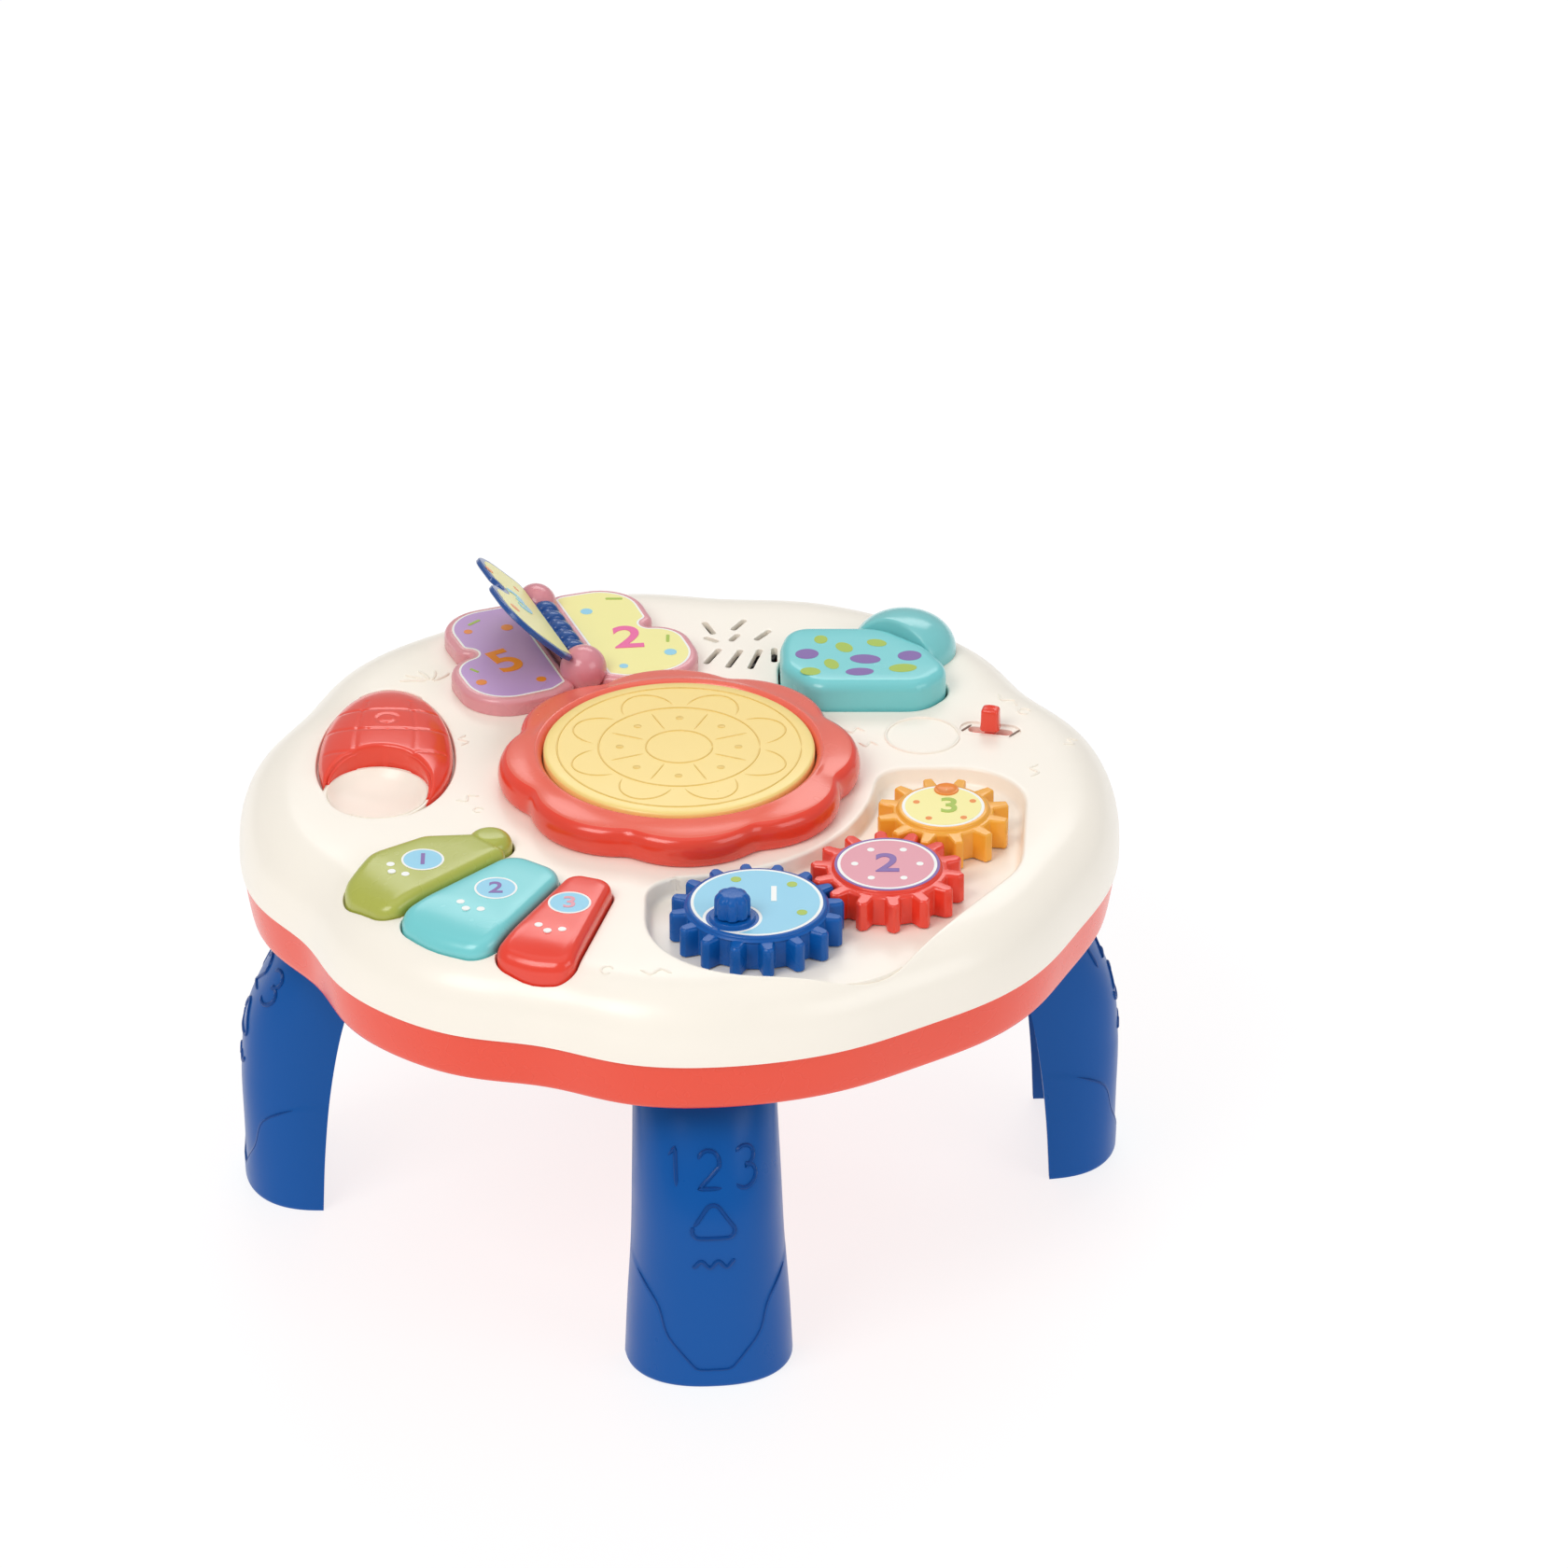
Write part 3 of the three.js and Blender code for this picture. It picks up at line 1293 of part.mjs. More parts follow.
function makeSwitchBody() {
  const top = switchBodyTopZ();
  const housingLength = switchPlateLength - 2 * overrun;
  const housing = bar(housingLength, switchPlateWidth - overrun, top - 2 * switchPlateWidth / 3, top);
  const strapLength = 2 * (switchPostX + postRadius / 2);
  const strap = bar(strapLength, switchPlateWidth / 2, top - switchPlateThickness, top - overrun / 2);
  return join(solid(housing), solid(strap));
}

function switchPosts() {
  return [-switchPostX, switchPostX].map((x) => switchPlace(
    rod(postRadius - overrun, switchBodyTopZ() - overrun / 2 + seat, ceilingZ + shellWall / 4)
      .translate(x, 0, 0),
  ));
}

// Speaker

function speakerRing() {
  const wall = 1.5 * seat + overrun;
  return placeSolid(turned([
    [speakerRadius + seat, ceilingZ - 2 * shellWall], [speakerRadius + seat + wall, ceilingZ - 2 * shellWall],
    [speakerRadius + seat + wall, ceilingZ + shellWall / 4], [speakerRadius + seat, ceilingZ + shellWall / 4],
    [speakerRadius + seat, ceilingZ - 2 * shellWall],
  ]), speakerX, speakerY);
}

function makeSpeaker() {
  const face = ceilingZ - seat;
  const r = speakerRadius;
  return solid(turned([
    [0, face - 0.75 * r], [0.5 * r, face - 0.75 * r], [0.5 * r, face - 0.4 * r], [0.62 * r, face - 0.4 * r],
    [0.9 * r, face - 0.1 * r], [r, face - 0.1 * r], [r, face], [0.86 * r, face], [0.3 * r, face - 0.25 * r],
    [0.15 * r, face - 0.18 * r], [0, face - 0.15 * r],
  ], middleSides));
}

function grilleCuts() {
  return grilleSlotShares.map(([x, y, length, direction]) => placeSolid(
    bar(length * speakerRadius, grilleSlotWidth, ceilingZ - overrun, topZ + overrun),
    speakerX + x * speakerRadius, speakerY + y * speakerRadius, 0, radians(direction),
  ));
}

// Boards inside, hung from posts under the top: the middle, the turn, the size and the places of the posts

const mainBoard = {
  name: 'main_board', x: 0, y: 0, turn: 0, length: mainBoardLength, width: mainBoardWidth,
  posts: [-1, 1].map((side) => [
    side * (mainBoardLength / 2 - postRadius - overrun), side * (mainBoardWidth / 2 - postRadius - overrun),
  ]),
};
const keyBoardAzimuth = keys[1].azimuth;
const keyBoardX = (keyBoardInner + keyBoardOuter) / 2;
const keyBoard = {
  name: 'key_board',
  x: keyBoardX * Math.cos(radians(keyBoardAzimuth)),
  y: keyBoardX * Math.sin(radians(keyBoardAzimuth)),
  turn: keyBoardAzimuth,
  length: keyBoardOuter - keyBoardInner,
  width: keyBoardWidth,
  posts: [0, 1].map((i) => {
    const between = radians((keys[i].azimuth + keys[i + 1].azimuth) / 2 - keyBoardAzimuth);
    const reach = keyBoardInner + postRadius + overrun;
    return [reach * Math.cos(between) - keyBoardX, reach * Math.sin(between)];
  }),
};
const buttonBoard = {
  name: 'button_board', x: buttonX, y: buttonY - overrun, turn: buttonBoardTurnDegrees,
  length: buttonBoardLength, width: buttonBoardWidth,
  posts: [-1, 1].map((side) => [side * (buttonBoardLength / 2 - postRadius), 0]),
};
const boards = [mainBoard, keyBoard, buttonBoard];

function boardPostPlaces({ x, y, turn, posts }) {
  return shiftOutline(posts, x, y, radians(turn));
}

function boardPosts() {
  return boards.flatMap((board) => boardPostPlaces(board).map(([x, y]) => placeSolid(
    rod(postRadius, boardTopZ + seat, ceilingZ + shellWall / 4), x, y,
  )));
}

function boardPostHoles() {
  return boards.flatMap((board) => boardPostPlaces(board).map(([x, y]) => placeSolid(
    rod(screwShank + seat, boardTopZ, boardTopZ + boardScrewLength + overrun), x, y,
  )));
}

function makeBoard(board) {
  const plate = bar(board.length, board.width, boardZ, boardTopZ);
  const holes = boardPostPlaces(board).map(([x, y]) => placeSolid(
    rod(screwShank + seat, boardZ - overrun, boardTopZ + overrun), x, y,
  ));
  return cut(placeSolid(plate, board.x, board.y, 0, radians(board.turn)), ...holes);
}

// A screw with its head down, its head's underside seat at the given height
function makeScrew(seatZ, length, headHeight = screwHeadHeight) {
  return solid(turned([
    [0, seatZ - headHeight], [screwHead * 0.8, seatZ - headHeight], [screwHead, seatZ],
    [screwShank, seatZ], [screwShank, seatZ + length - screwShank], [0, seatZ + length],
  ], smallSides));
}

// Batteries

function makeDoor() {
  const screwHole = placeSolid(turned([
    [0, legHeight - overrun], [screwHead + seat, legHeight - overrun],
    [screwHead + seat, legHeight + doorHeadDepth],
    [screwShank + seat, legHeight + doorHeadDepth], [screwShank + seat, legHeight + doorThickness + overrun],
    [0, legHeight + doorThickness + overrun],
  ], middleSides), 0, doorScrewY);
  return cut(doorForm(0, legHeight, legHeight + doorThickness), screwHole);
}

function makeCell() {
  const half = cellLength / 2;
  const nub = overrun;
  return solid(turned([
    [0, -half], [cellRadius, -half], [cellRadius, half - nub], [cellRadius * 0.4, half - nub],
    [cellRadius * 0.4, half], [0, half],
  ]).rotateY(Math.PI / 2));
}

const table = new THREE.Group();
const creamColour = '#fbf3e2';
const legBlue = '#0b4f9e';

addMesh(table, 'top_shell', makeTopShell(), creamColour, 0.35);
addMesh(table, 'lower_tray', makeTray(), '#e8462f', 0.35);
const legSolid = makeLeg();
legNames.forEach((name, number) => {
  addMesh(table, name, legSolid, legBlue, 0.3).rotation.z = legTurn(number);
});

addMesh(table, 'drum_ring', makeDrumRing(), '#e23a35', 0.3);
addMesh(table, 'drum_head', makeDrumHead(), '#fbe196', 0.45);
addMesh(table, 'drum_pad', makePad(), '#b9bcc0', 0.7);

keys.forEach((key) => {
  const place = new THREE.Group();
  place.rotation.z = radians(key.azimuth);
  table.add(place);
  addMesh(place, `${key.name}_key`, makeKey(key), key.colour, 0.3);
  addMesh(place, `${key.name}_key_pin`, makeKeyPin(key), '#c8cacd', 0.3, 1);
  addMesh(place, `${key.name}_key_pad`, makePad(), '#b9bcc0', 0.7).position.x = keyActuatorRadius;
});

gearCentres().forEach(([x, y], number) => {
  const place = new THREE.Group();
  place.position.set(x, y, 0);
  table.add(place);
  addMesh(place, gearNames[number], makeGear(number), gearColours[number], 0.35);
  addMesh(place, `${gearNames[number]}_retainer`, makeRetainer(), '#c8cacd', 0.3, 1);
  if (number > 0) return;
  const knob = addMesh(place, 'crank_knob', makeKnob(), gearColours[number], 0.35);
  knob.position.set(knobOffsetX, knobOffsetY, 0);
});

const butterfly = new THREE.Group();
butterfly.position.set(butterflyX, butterflyY, 0);
butterfly.rotation.z = radians(butterflyTurnDegrees);
table.add(butterfly);
addMesh(butterfly, 'butterfly_base', makeButterflyBase(), '#d98e93', 0.35);
const page = addMesh(butterfly, 'page', makePage(), '#1f5ea8', 0.35);
page.position.z = hingeZ;
page.rotation.y = radians(90 - pageLeanDegrees);
addMesh(butterfly, 'page_pin', makePagePin(), '#c8cacd', 0.3, 1).position.z = hingeZ;

addMesh(table, 'teal_button', makeButton(), '#66c3c6', 0.3);
addMesh(table, 'button_pad', makePad(), '#b9bcc0', 0.7).position.set(buttonX, buttonY, 0);
addMesh(table, 'lamp_dome', makeLampDome(), '#74c9cb', 0.25);
addMesh(table, 'lamp_led', makeLed(), '#f4f4f0', 0.2);

addMesh(table, 'flip_lid', makeLid(), '#e23d38', 0.3);
addMesh(table, 'lid_pin', makeLidPin(), '#c8cacd', 0.3, 1);

const switchGroup = new THREE.Group();
switchGroup.position.set(switchX, switchY, 0);
switchGroup.rotation.z = radians(switchTurnDegrees);
table.add(switchGroup);
addMesh(switchGroup, 'switch_slider', makeSlider(), '#e2352d', 0.35);
addMesh(switchGroup, 'switch_body', makeSwitchBody(), '#3a3d42', 0.5);

addMesh(table, 'speaker_driver', makeSpeaker(), '#2c2d30', 0.6).position.set(speakerX, speakerY, 0);

boards.forEach((board) => {
  addMesh(table, board.name, makeBoard(board), '#2f7d4b', 0.5);
  boardPostPlaces(board).forEach(([x, y], i) => {
    const screw = makeScrew(boardZ - seat / 3, boardScrewLength);
    addMesh(table, `${board.name}_screw_${i + 1}`, screw, '#c8cacd', 0.3, 1).position.set(x, y, 0);
  });
});
screwPlaces().forEach(([x, y], i) => {
  const screw = makeScrew(legHeight + counterbore - seat, screwLength);
  addMesh(table, `housing_screw_${i + 1}`, screw, '#c8cacd', 0.3, 1).position.set(x, y, 0);
});

addMesh(table, 'battery_door', makeDoor(), '#e8462f', 0.35);
const doorHead = doorHeadDepth - seat / 3;
const doorScrew = makeScrew(legHeight + doorHead, doorScrewLength - overrun, doorHead);
addMesh(table, 'door_screw', doorScrew, '#c8cacd', 0.3, 1).position.y = doorScrewY;
[-1, 0, 1].forEach((row) => {
  addMesh(table, `battery_${row + 2}`, makeCell(), '#8b8f94', 0.4, 0.5)
    .position.set(0, row * cellPitch, legHeight + doorThickness + 2 * seat + cellRadius);
});

export default table;
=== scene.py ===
# Musical activity table for a small child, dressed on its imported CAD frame. Sizes in the sections are
# millimetres in the frame's own place, and every mesh is written in metres.
import math

import bmesh
import bpy
import numpy as np
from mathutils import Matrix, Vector
from mathutils.geometry import delaunay_2d_cdt


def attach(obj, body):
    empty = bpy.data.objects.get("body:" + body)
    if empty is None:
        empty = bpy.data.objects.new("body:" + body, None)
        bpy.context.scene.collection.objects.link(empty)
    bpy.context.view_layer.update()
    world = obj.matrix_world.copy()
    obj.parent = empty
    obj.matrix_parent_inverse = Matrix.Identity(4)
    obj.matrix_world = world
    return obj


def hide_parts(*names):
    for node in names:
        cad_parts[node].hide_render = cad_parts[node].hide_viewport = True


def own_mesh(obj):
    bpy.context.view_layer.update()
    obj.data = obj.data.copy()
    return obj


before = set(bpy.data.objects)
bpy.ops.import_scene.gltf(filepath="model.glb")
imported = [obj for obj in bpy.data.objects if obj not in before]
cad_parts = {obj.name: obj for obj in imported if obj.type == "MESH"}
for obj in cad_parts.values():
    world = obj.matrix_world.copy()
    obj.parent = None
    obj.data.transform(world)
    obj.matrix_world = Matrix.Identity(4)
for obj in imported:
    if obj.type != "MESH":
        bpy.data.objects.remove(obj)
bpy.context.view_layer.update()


# Stage. A pale round floor in a plain white surround, lit by four soft boxes as in a product studio. The
# camera stands in front and above, as for the photograph.
MM = 0.001
FLOOR_REACH, FLOOR_DEPTH = 6000, 4
LIGHTS = (("key_light", (-1.5, -1.7, 2.6), (0, 0, 0.12), (1.6, 1.6), 43, (1, 0.985, 0.96)),
          ("fill_light", (2.3, -1.5, 1.7), (0, 0, 0.12), (1.8, 1.4), 17, (0.97, 0.985, 1)),
          ("back_light", (0.3, 2.4, 2.2), (0, 0, 0.15), (2.2, 1.0), 18, (1, 1, 1)),
          ("top_light", (0, 0.1, 3.0), (0, 0, 0.1), (2.4, 2.4), 10, (1, 1, 1)))


def linked(name, data):
    thing = bpy.data.objects.new(name, data)
    bpy.context.scene.collection.objects.link(thing)
    return thing


def raw_mesh(name, verts, faces):
    mesh = bpy.data.meshes.new(name)
    mesh.from_pydata((np.asarray(verts) * MM).tolist(), [], faces)
    return mesh


def circle(radius, count=96, x=0.0, y=0.0):
    a = np.arange(count) * 2 * np.pi / count
    return np.column_stack([x + radius * np.cos(a), y + radius * np.sin(a)])


def at_height(outline, z):
    outline = np.asarray(outline, float)
    return np.column_stack([outline, np.full(len(outline), float(z)) if np.isscalar(z) else z])


def inside(points, outline):
    x, y = points[:, 0], points[:, 1]
    hit = np.zeros(len(points), bool)
    for (ax, ay), (bx, by) in zip(outline, np.roll(outline, -1, axis=0)):
        if ay != by:
            hit ^= ((ay > y) != (by > y)) & (x < (bx - ax) * (y - ay) / (by - ay) + ax)
    return hit


def sheet(points, loops, keep, cut):
    """Triangles over a plan of loose points and closed loops, those in keep and out of every cut."""
    plan, edges = [tuple(p) for p in points], []
    for loop in loops:
        first = len(plan)
        plan += [tuple(p) for p in loop]
        edges += [(first + i, first + (i + 1) % len(loop)) for i in range(len(loop))]
    out = delaunay_2d_cdt([Vector((x, y)) for x, y in plan], edges, [], 0, 1e-5)
    xy = np.array([(v.x, v.y) for v in out[0]])
    tris = np.array([f for f in out[2] if len(f) == 3])
    middle = xy[tris].mean(axis=1)
    good = np.any([inside(middle, loop) for loop in keep], axis=0)
    for loop in cut:
        good &= ~inside(middle, loop)
    tris = tris[good]
    a, b, c = xy[tris[:, 0]], xy[tris[:, 1]], xy[tris[:, 2]]
    area = (b[:, 0] - a[:, 0]) * (c[:, 1] - a[:, 1]) - (b[:, 1] - a[:, 1]) * (c[:, 0] - a[:, 0])
    tris[area < 0] = tris[area < 0][:, ::-1]
    used, tris = np.unique(tris, return_inverse=True)
    return xy[used], tris.reshape(-1, 3), [out[3][i] for i in used]


def edge_of(tris):
    pairs = np.vstack([tris[:, [0, 1]], tris[:, [1, 2]], tris[:, [2, 0]]])
    known = set(map(tuple, pairs))
    return [(a, b) for a, b in map(tuple, pairs) if (b, a) not in known]


def plate(keep, cut, low, high):
    """A flat inlay or print between two heights, over what lies in keep and out of cut."""
    xy, tris, _ = sheet([], [*keep, *cut], keep, cut)
    count = len(xy)
    faces = [tuple(t[::-1]) for t in tris] + [tuple(t + count) for t in tris]
    faces += [(a, b, b + count, a + count) for a, b in edge_of(tris)]
    return np.vstack([at_height(xy, low), at_height(xy, high)]), faces


def soft_box(name, place, look, size, power, tint):
    lamp = bpy.data.lights.new(name, "AREA")
    lamp.shape, lamp.size, lamp.size_y, lamp.energy, lamp.color = "RECTANGLE", *size, power, tint
    thing = linked(name, lamp)
    thing.location = place
    thing.rotation_euler = (Vector(look) - Vector(place)).to_track_quat("-Z", "Y").to_euler()


def studio_air(scene):
    """Soft light from all around that the camera sees as plain white."""
    scene.world = bpy.data.worlds.new("studio_air")
    scene.world.use_nodes = True
    nodes, links = scene.world.node_tree.nodes, scene.world.node_tree.links
    light, seen = nodes["Background"], nodes.new("ShaderNodeBackground")
    for node, colour, strength in ((light, (0.96, 0.98, 1, 1), 0.42), (seen, (1, 1, 1, 1), 1.0)):
        node.inputs["Color"].default_value = colour
        node.inputs["Strength"].default_value = strength
    paths, mix = nodes.new("ShaderNodeLightPath"), nodes.new("ShaderNodeMixShader")
    links.new(paths.outputs["Is Camera Ray"], mix.inputs["Fac"])
    links.new(light.outputs[0], mix.inputs[1])
    links.new(seen.outputs[0], mix.inputs[2])
    links.new(mix.outputs[0], nodes["World Output"].inputs["Surface"])


scene = bpy.context.scene
scene.view_settings.view_transform = "Standard"
lens = bpy.data.cameras.new("camera")
lens.lens, lens.sensor_width, lens.clip_start, lens.clip_end = 231.5, 36, 0.1, 40
view = linked("camera", lens)
view.location = (0.04417, -3.7100, 2.2639)
view.rotation_euler = (math.radians(60.70), 0, 0)
scene.camera = view
for light in LIGHTS:
    soft_box(*light)
studio_air(scene)
floor = linked("floor", raw_mesh("floor", *plate([circle(FLOOR_REACH)], [], -FLOOR_DEPTH, 0)))
card = bpy.data.materials.new("floor_card")
card.use_nodes = True
for name, value in (("Base Color", (0.22, 0.22, 0.22, 1)), ("Roughness", 0.6),
                    ("Emission Color", (1, 1, 1, 1)), ("Emission Strength", 0.8)):
    card.node_tree.nodes["Principled BSDF"].inputs[name].default_value = value
floor.data.materials.append(card)


# Top shell. One large ivory moulding, a scalloped dish turned over, with soft rims round its openings, a sunk
# bed for the gears, a well under the lid and a round finger bowl, snapped and screwed to the tray. Like all
# the mouldings it is faintly clouded, with a gloss that wanders and the fine grain of its mould.
RIM, SEAM, TOP = 186.0, 153.5, 184.0
SHELL_WALL, SHOULDER, SKIRT = 3.0, 27.0, 5.0
SOFTNESS = 2.3
SHARP_EDGE = math.radians(38)
DIPS = ((-151, 1), (-108, 0.95), (-56, 0.3), (-24, 0.35), (31, 0.9), (84, 0.7), (125, 0.3), (156, 0.65))
DIP_DEPTH, DIP_SPREAD = 9, 10
KEY_FANS = {"green": -142.0, "teal": -125.6, "red": -110.75}
KEY_SPREADS = {"teal": 8.6, "red": 6.25}
KEY_START, KEY_END, KEY_HALF, KEY_GAP = 98.5, 167, 22.6, 0.8
GEARS = ((33.0, -116.0, 36.26), (86.9502, -84.3476, 32.09), (110.7993, -35.6655, 27.92))
BED_LEVEL, BED_MARGIN, BED_INNER, GEAR_HOLE = 176.0, 9.2, 83, 5.9
BUTTON_X, BUTTON_Y, BUTTON_LONG, BUTTON_WIDE = 79, 88, 37, 27
BUTTON = [(BUTTON_X + x * BUTTON_LONG, BUTTON_Y + y * BUTTON_WIDE, r * BUTTON_WIDE) for x, y, r in (
    (-0.99, 0.4, 0.8), (-0.98, -0.35, 0.6), (-0.62, -1, 0.5), (0.66, -1, 0.55), (1, -0.42, 0.5),
    (0.72, 0.35, 0.9), (0.2, 0.98, 0.8), (-0.9, 0.98, 0.42))]
LID_X, LID_Y, LID_HALF, LID_BACK, LID_FRONT = -124.3, 14, 28.4, 61, 46
BOWL_X, BOWL_Y, BOWL_RADIUS, BOWL_DEPTH = -127, -11.5, 21.2, 7.3
EAR_REACH, EAR_HALF = 7.75, 1.25
SWITCH = (132, 44, -12)
TRACK_LEVEL = TOP - 0.9
BUTTON_GAP, BUTTON_RIM, RIM_ROOM = 0.8, 1.2, 2.4
WELL_LEVEL, HINGE_LEVEL, HINGE_START, HINGE_HALF = 181.2, 176.2, 64, 13.4
WELL_BITE, WELL_LEDGE, WELL_SOFT, WELL_STEPS = 24.0, 2.2, 0.5, ((3.2, 176.0), (4.4, 174.8))
DRUM_HOLE, LAMP_HOLE, LAMP_PLACE = 5.4, 2.8, (96.9, 115.9)
SHEET_PITCH, SHEET_ROW, SHEET_REACH = 7.0, 6.06, 150
EAR_BOX, EAR_SOFT = (68.0, 72.8, 173.4, 183.4), 0.5
GRILLE = [(24.5 + x * 18, 122 + y * 18, length * 18 + 2, turn) for x, y, length, turn in (
    (-0.62, -0.72, 0.72, 66), (-0.1, -0.84, 0.84, 70), (0.4, -0.86, 0.9, 76), (0.86, -0.66, 0.6, 90),
    (-0.66, 0.12, 0.3, 145), (-0.1, 0.22, 0.3, 60), (0.58, 0.34, 0.5, 55), (-0.72, 0.7, 0.56, 112),
    (0, 0.86, 0.5, 60))]


def linear(text):
    parts = [int(text[i:i + 2], 16) / 255 for i in (1, 3, 5)]
    return [p / 12.92 if p <= 0.04045 else ((p + 0.055) / 1.055) ** 2.4 for p in parts] + [1]


def moulded_group():
    """The surface of a moulding: clouded colour, wandering roughness, a slow wave and a fine grain."""
    group = bpy.data.node_groups.new("moulded_surface", "ShaderNodeTree")
    nodes, links = group.nodes, group.links
    for way, kind, names in (("INPUT", "Color", ("Color",)),
                             ("INPUT", "Float", ("Roughness", "Cloud", "Grain", "Grain size", "Wave")),
                             ("OUTPUT", "Color", ("Color",)), ("OUTPUT", "Float", ("Roughness",)),
                             ("OUTPUT", "Vector", ("Normal",))):
        for name in names:
            group.interface.new_socket(name, in_out=way, socket_type="NodeSocket" + kind)
    given, result = nodes.new("NodeGroupInput"), nodes.new("NodeGroupOutput")
    place = nodes.new("ShaderNodeTexCoord")

    def put(value, socket):
        if isinstance(value, (int, float)):
            socket.default_value = value
        else:
            links.new(value, socket)

    def noise(scale, detail):
        node = nodes.new("ShaderNodeTexNoise")
        put(scale, node.inputs["Scale"])
        put(detail, node.inputs["Detail"])
        put(place.outputs["Object"], node.inputs["Vector"])
        return node.outputs[0]

    def maths(operation, a, b):
        node = nodes.new("ShaderNodeMath")
        node.operation = operation
        put(a, node.inputs[0])
        put(b, node.inputs[1])
        return node.outputs[0]

    def swing(height, share):
        return maths("MULTIPLY", maths("SUBTRACT", height, 0.5), share)

    shade = nodes.new("ShaderNodeHueSaturation")
    wave, grain = nodes.new("ShaderNodeBump"), nodes.new("ShaderNodeBump")
    for value, socket in (
            (given.outputs["Color"], shade.inputs["Color"]),
            (maths("ADD", 1, swing(noise(22, 3), given.outputs["Cloud"])), shade.inputs["Value"]),
            (shade.outputs[0], result.inputs["Color"]),
            (maths("ADD", given.outputs["Roughness"], swing(noise(70, 2), 0.12)), result.inputs["Roughness"]),
            (0.0012, wave.inputs["Distance"]), (given.outputs["Wave"], wave.inputs["Strength"]),
            (noise(14, 1), wave.inputs["Height"]),
            (0.00006, grain.inputs["Distance"]), (given.outputs["Grain"], grain.inputs["Strength"]),
            (noise(maths("DIVIDE", 1, given.outputs["Grain size"]), 2), grain.inputs["Height"]),
            (wave.outputs[0], grain.inputs["Normal"]), (grain.outputs[0], result.inputs["Normal"])):
        put(value, socket)
    return group


moulded = moulded_group()


def finish(name, colour, roughness, cloud=0.05, grain=0.12, grain_size=0.0009, wave=0.12, metal=0.0,
           coat=0.15, clear=0.0, ior=1.49):
    material = bpy.data.materials.new(name)
    material.use_nodes = True
    nodes, links = material.node_tree.nodes, material.node_tree.links
    shader, skin = nodes["Principled BSDF"], nodes.new("ShaderNodeGroup")
    skin.node_tree = moulded
    for socket, value in (("Color", linear(colour)), ("Roughness", roughness), ("Cloud", cloud),
                          ("Grain", grain), ("Grain size", grain_size), ("Wave", wave)):
        skin.inputs[socket].default_value = value
    for source, target in (("Color", "Base Color"), ("Roughness", "Roughness"), ("Normal", "Normal")):
        links.new(skin.outputs[source], shader.inputs[target])
    for socket, value in (("Metallic", metal), ("IOR", ior), ("Coat Weight", coat), ("Coat Roughness", 0.12),
                          ("Transmission Weight", clear)):
        shader.inputs[socket].default_value = value
    return material


def rounded(corners, grow=0.0, fine=7.0, pitch=3.0):
    """An anticlockwise outline with corners (x, y, radius), moved outwards by grow, point for point."""
    count = len(corners)
    sides, lengths, arcs, points = [], [], [], []
    for i, (x, y, _) in enumerate(corners):
        ex, ey = corners[(i + 1) % count][0] - x, corners[(i + 1) % count][1] - y
        lengths.append(math.hypot(ex, ey))
        sides.append((ex / lengths[-1], ey / lengths[-1]))
    for i, (x, y, radius) in enumerate(corners):
        (ax, ay), (bx, by) = sides[i - 1], sides[i]
        turn = math.atan2(ax * by - ay * bx, ax * bx + ay * by)
        hand = 1 if turn > 0 else -1
        spread = grow / (1 + ax * bx + ay * by)
        cx, cy = x + (ay + by) * spread, y - (ax + bx) * spread
        bend = max(radius + hand * grow, 0.1)
        back = bend * math.tan(abs(turn) / 2)
        sx, sy = cx - ax * back, cy - ay * back
        mx, my = sx - ay * hand * bend, sy + ax * hand * bend
        arc = max(2, int(math.degrees(abs(turn)) / fine))
        dx, dy = sx - mx, sy - my
        arcs.append([(mx + dx * math.cos(a) - dy * math.sin(a), my + dx * math.sin(a) + dy * math.cos(a))
                     for a in (turn * k / arc for k in range(arc + 1))])
    for i, arc in enumerate(arcs):
        parts = max(1, int(lengths[i] / pitch))
        (x0, y0), (x1, y1) = arc[-1], arcs[(i + 1) % count][0]
        points += arc
        points += [(x0 + (x1 - x0) * k / parts, y0 + (y1 - y0) * k / parts) for k in range(1, parts)]
    return np.array(points)


def oblong(half_x, half_y, soft):
    return [(x * half_x, y * half_y, soft) for x, y in ((-1, -1), (1, -1), (1, 1), (-1, 1))]


def even(outline, count):
    closed = np.vstack([outline, outline[:1]])
    along = np.concatenate([[0], np.cumsum(np.hypot(*np.diff(closed, axis=0).T))])
    at = np.linspace(0, along[-1], count, endpoint=False)
    return np.column_stack([np.interp(at, along, closed[:, k]) for k in (0, 1)])


def turned_to(points, x, y, degrees):
    c, s = math.cos(math.radians(degrees)), math.sin(math.radians(degrees))
    points = np.asarray(points, float)
    out = points.copy()
    out[:, 0], out[:, 1] = x + points[:, 0] * c - points[:, 1] * s, y + points[:, 0] * s + points[:, 1] * c
    return out


def loft(rings, bottom=True, top=True):
    count = len(rings[0])
    faces = [(r * count + i, r * count + j, (r + 1) * count + j, (r + 1) * count + i)
             for r in range(len(rings) - 1) for i, j in zip(range(count), [*range(1, count), 0])]
    if bottom:
        faces.append(tuple(range(count - 1, -1, -1)))
    if top:
        faces.append(tuple(range((len(rings) - 1) * count, len(rings) * count)))
    return np.vstack(rings), faces


def fillet(radius, steps=6, power=2.0):
    """(inset, drop) from the side of a rounded edge, radius down, up to its top."""
    return [(radius * (1 - math.cos(a) ** (2 / power)), radius * (1 - math.sin(a) ** (2 / power)))
            for a in (math.pi / 2 * k / steps for k in range(steps + 1))]


def stacked(outline, levels):
    """Rings of outline(grow), one for each (grow, z)."""
    return [at_height(outline(grow), z) for grow, z in levels]


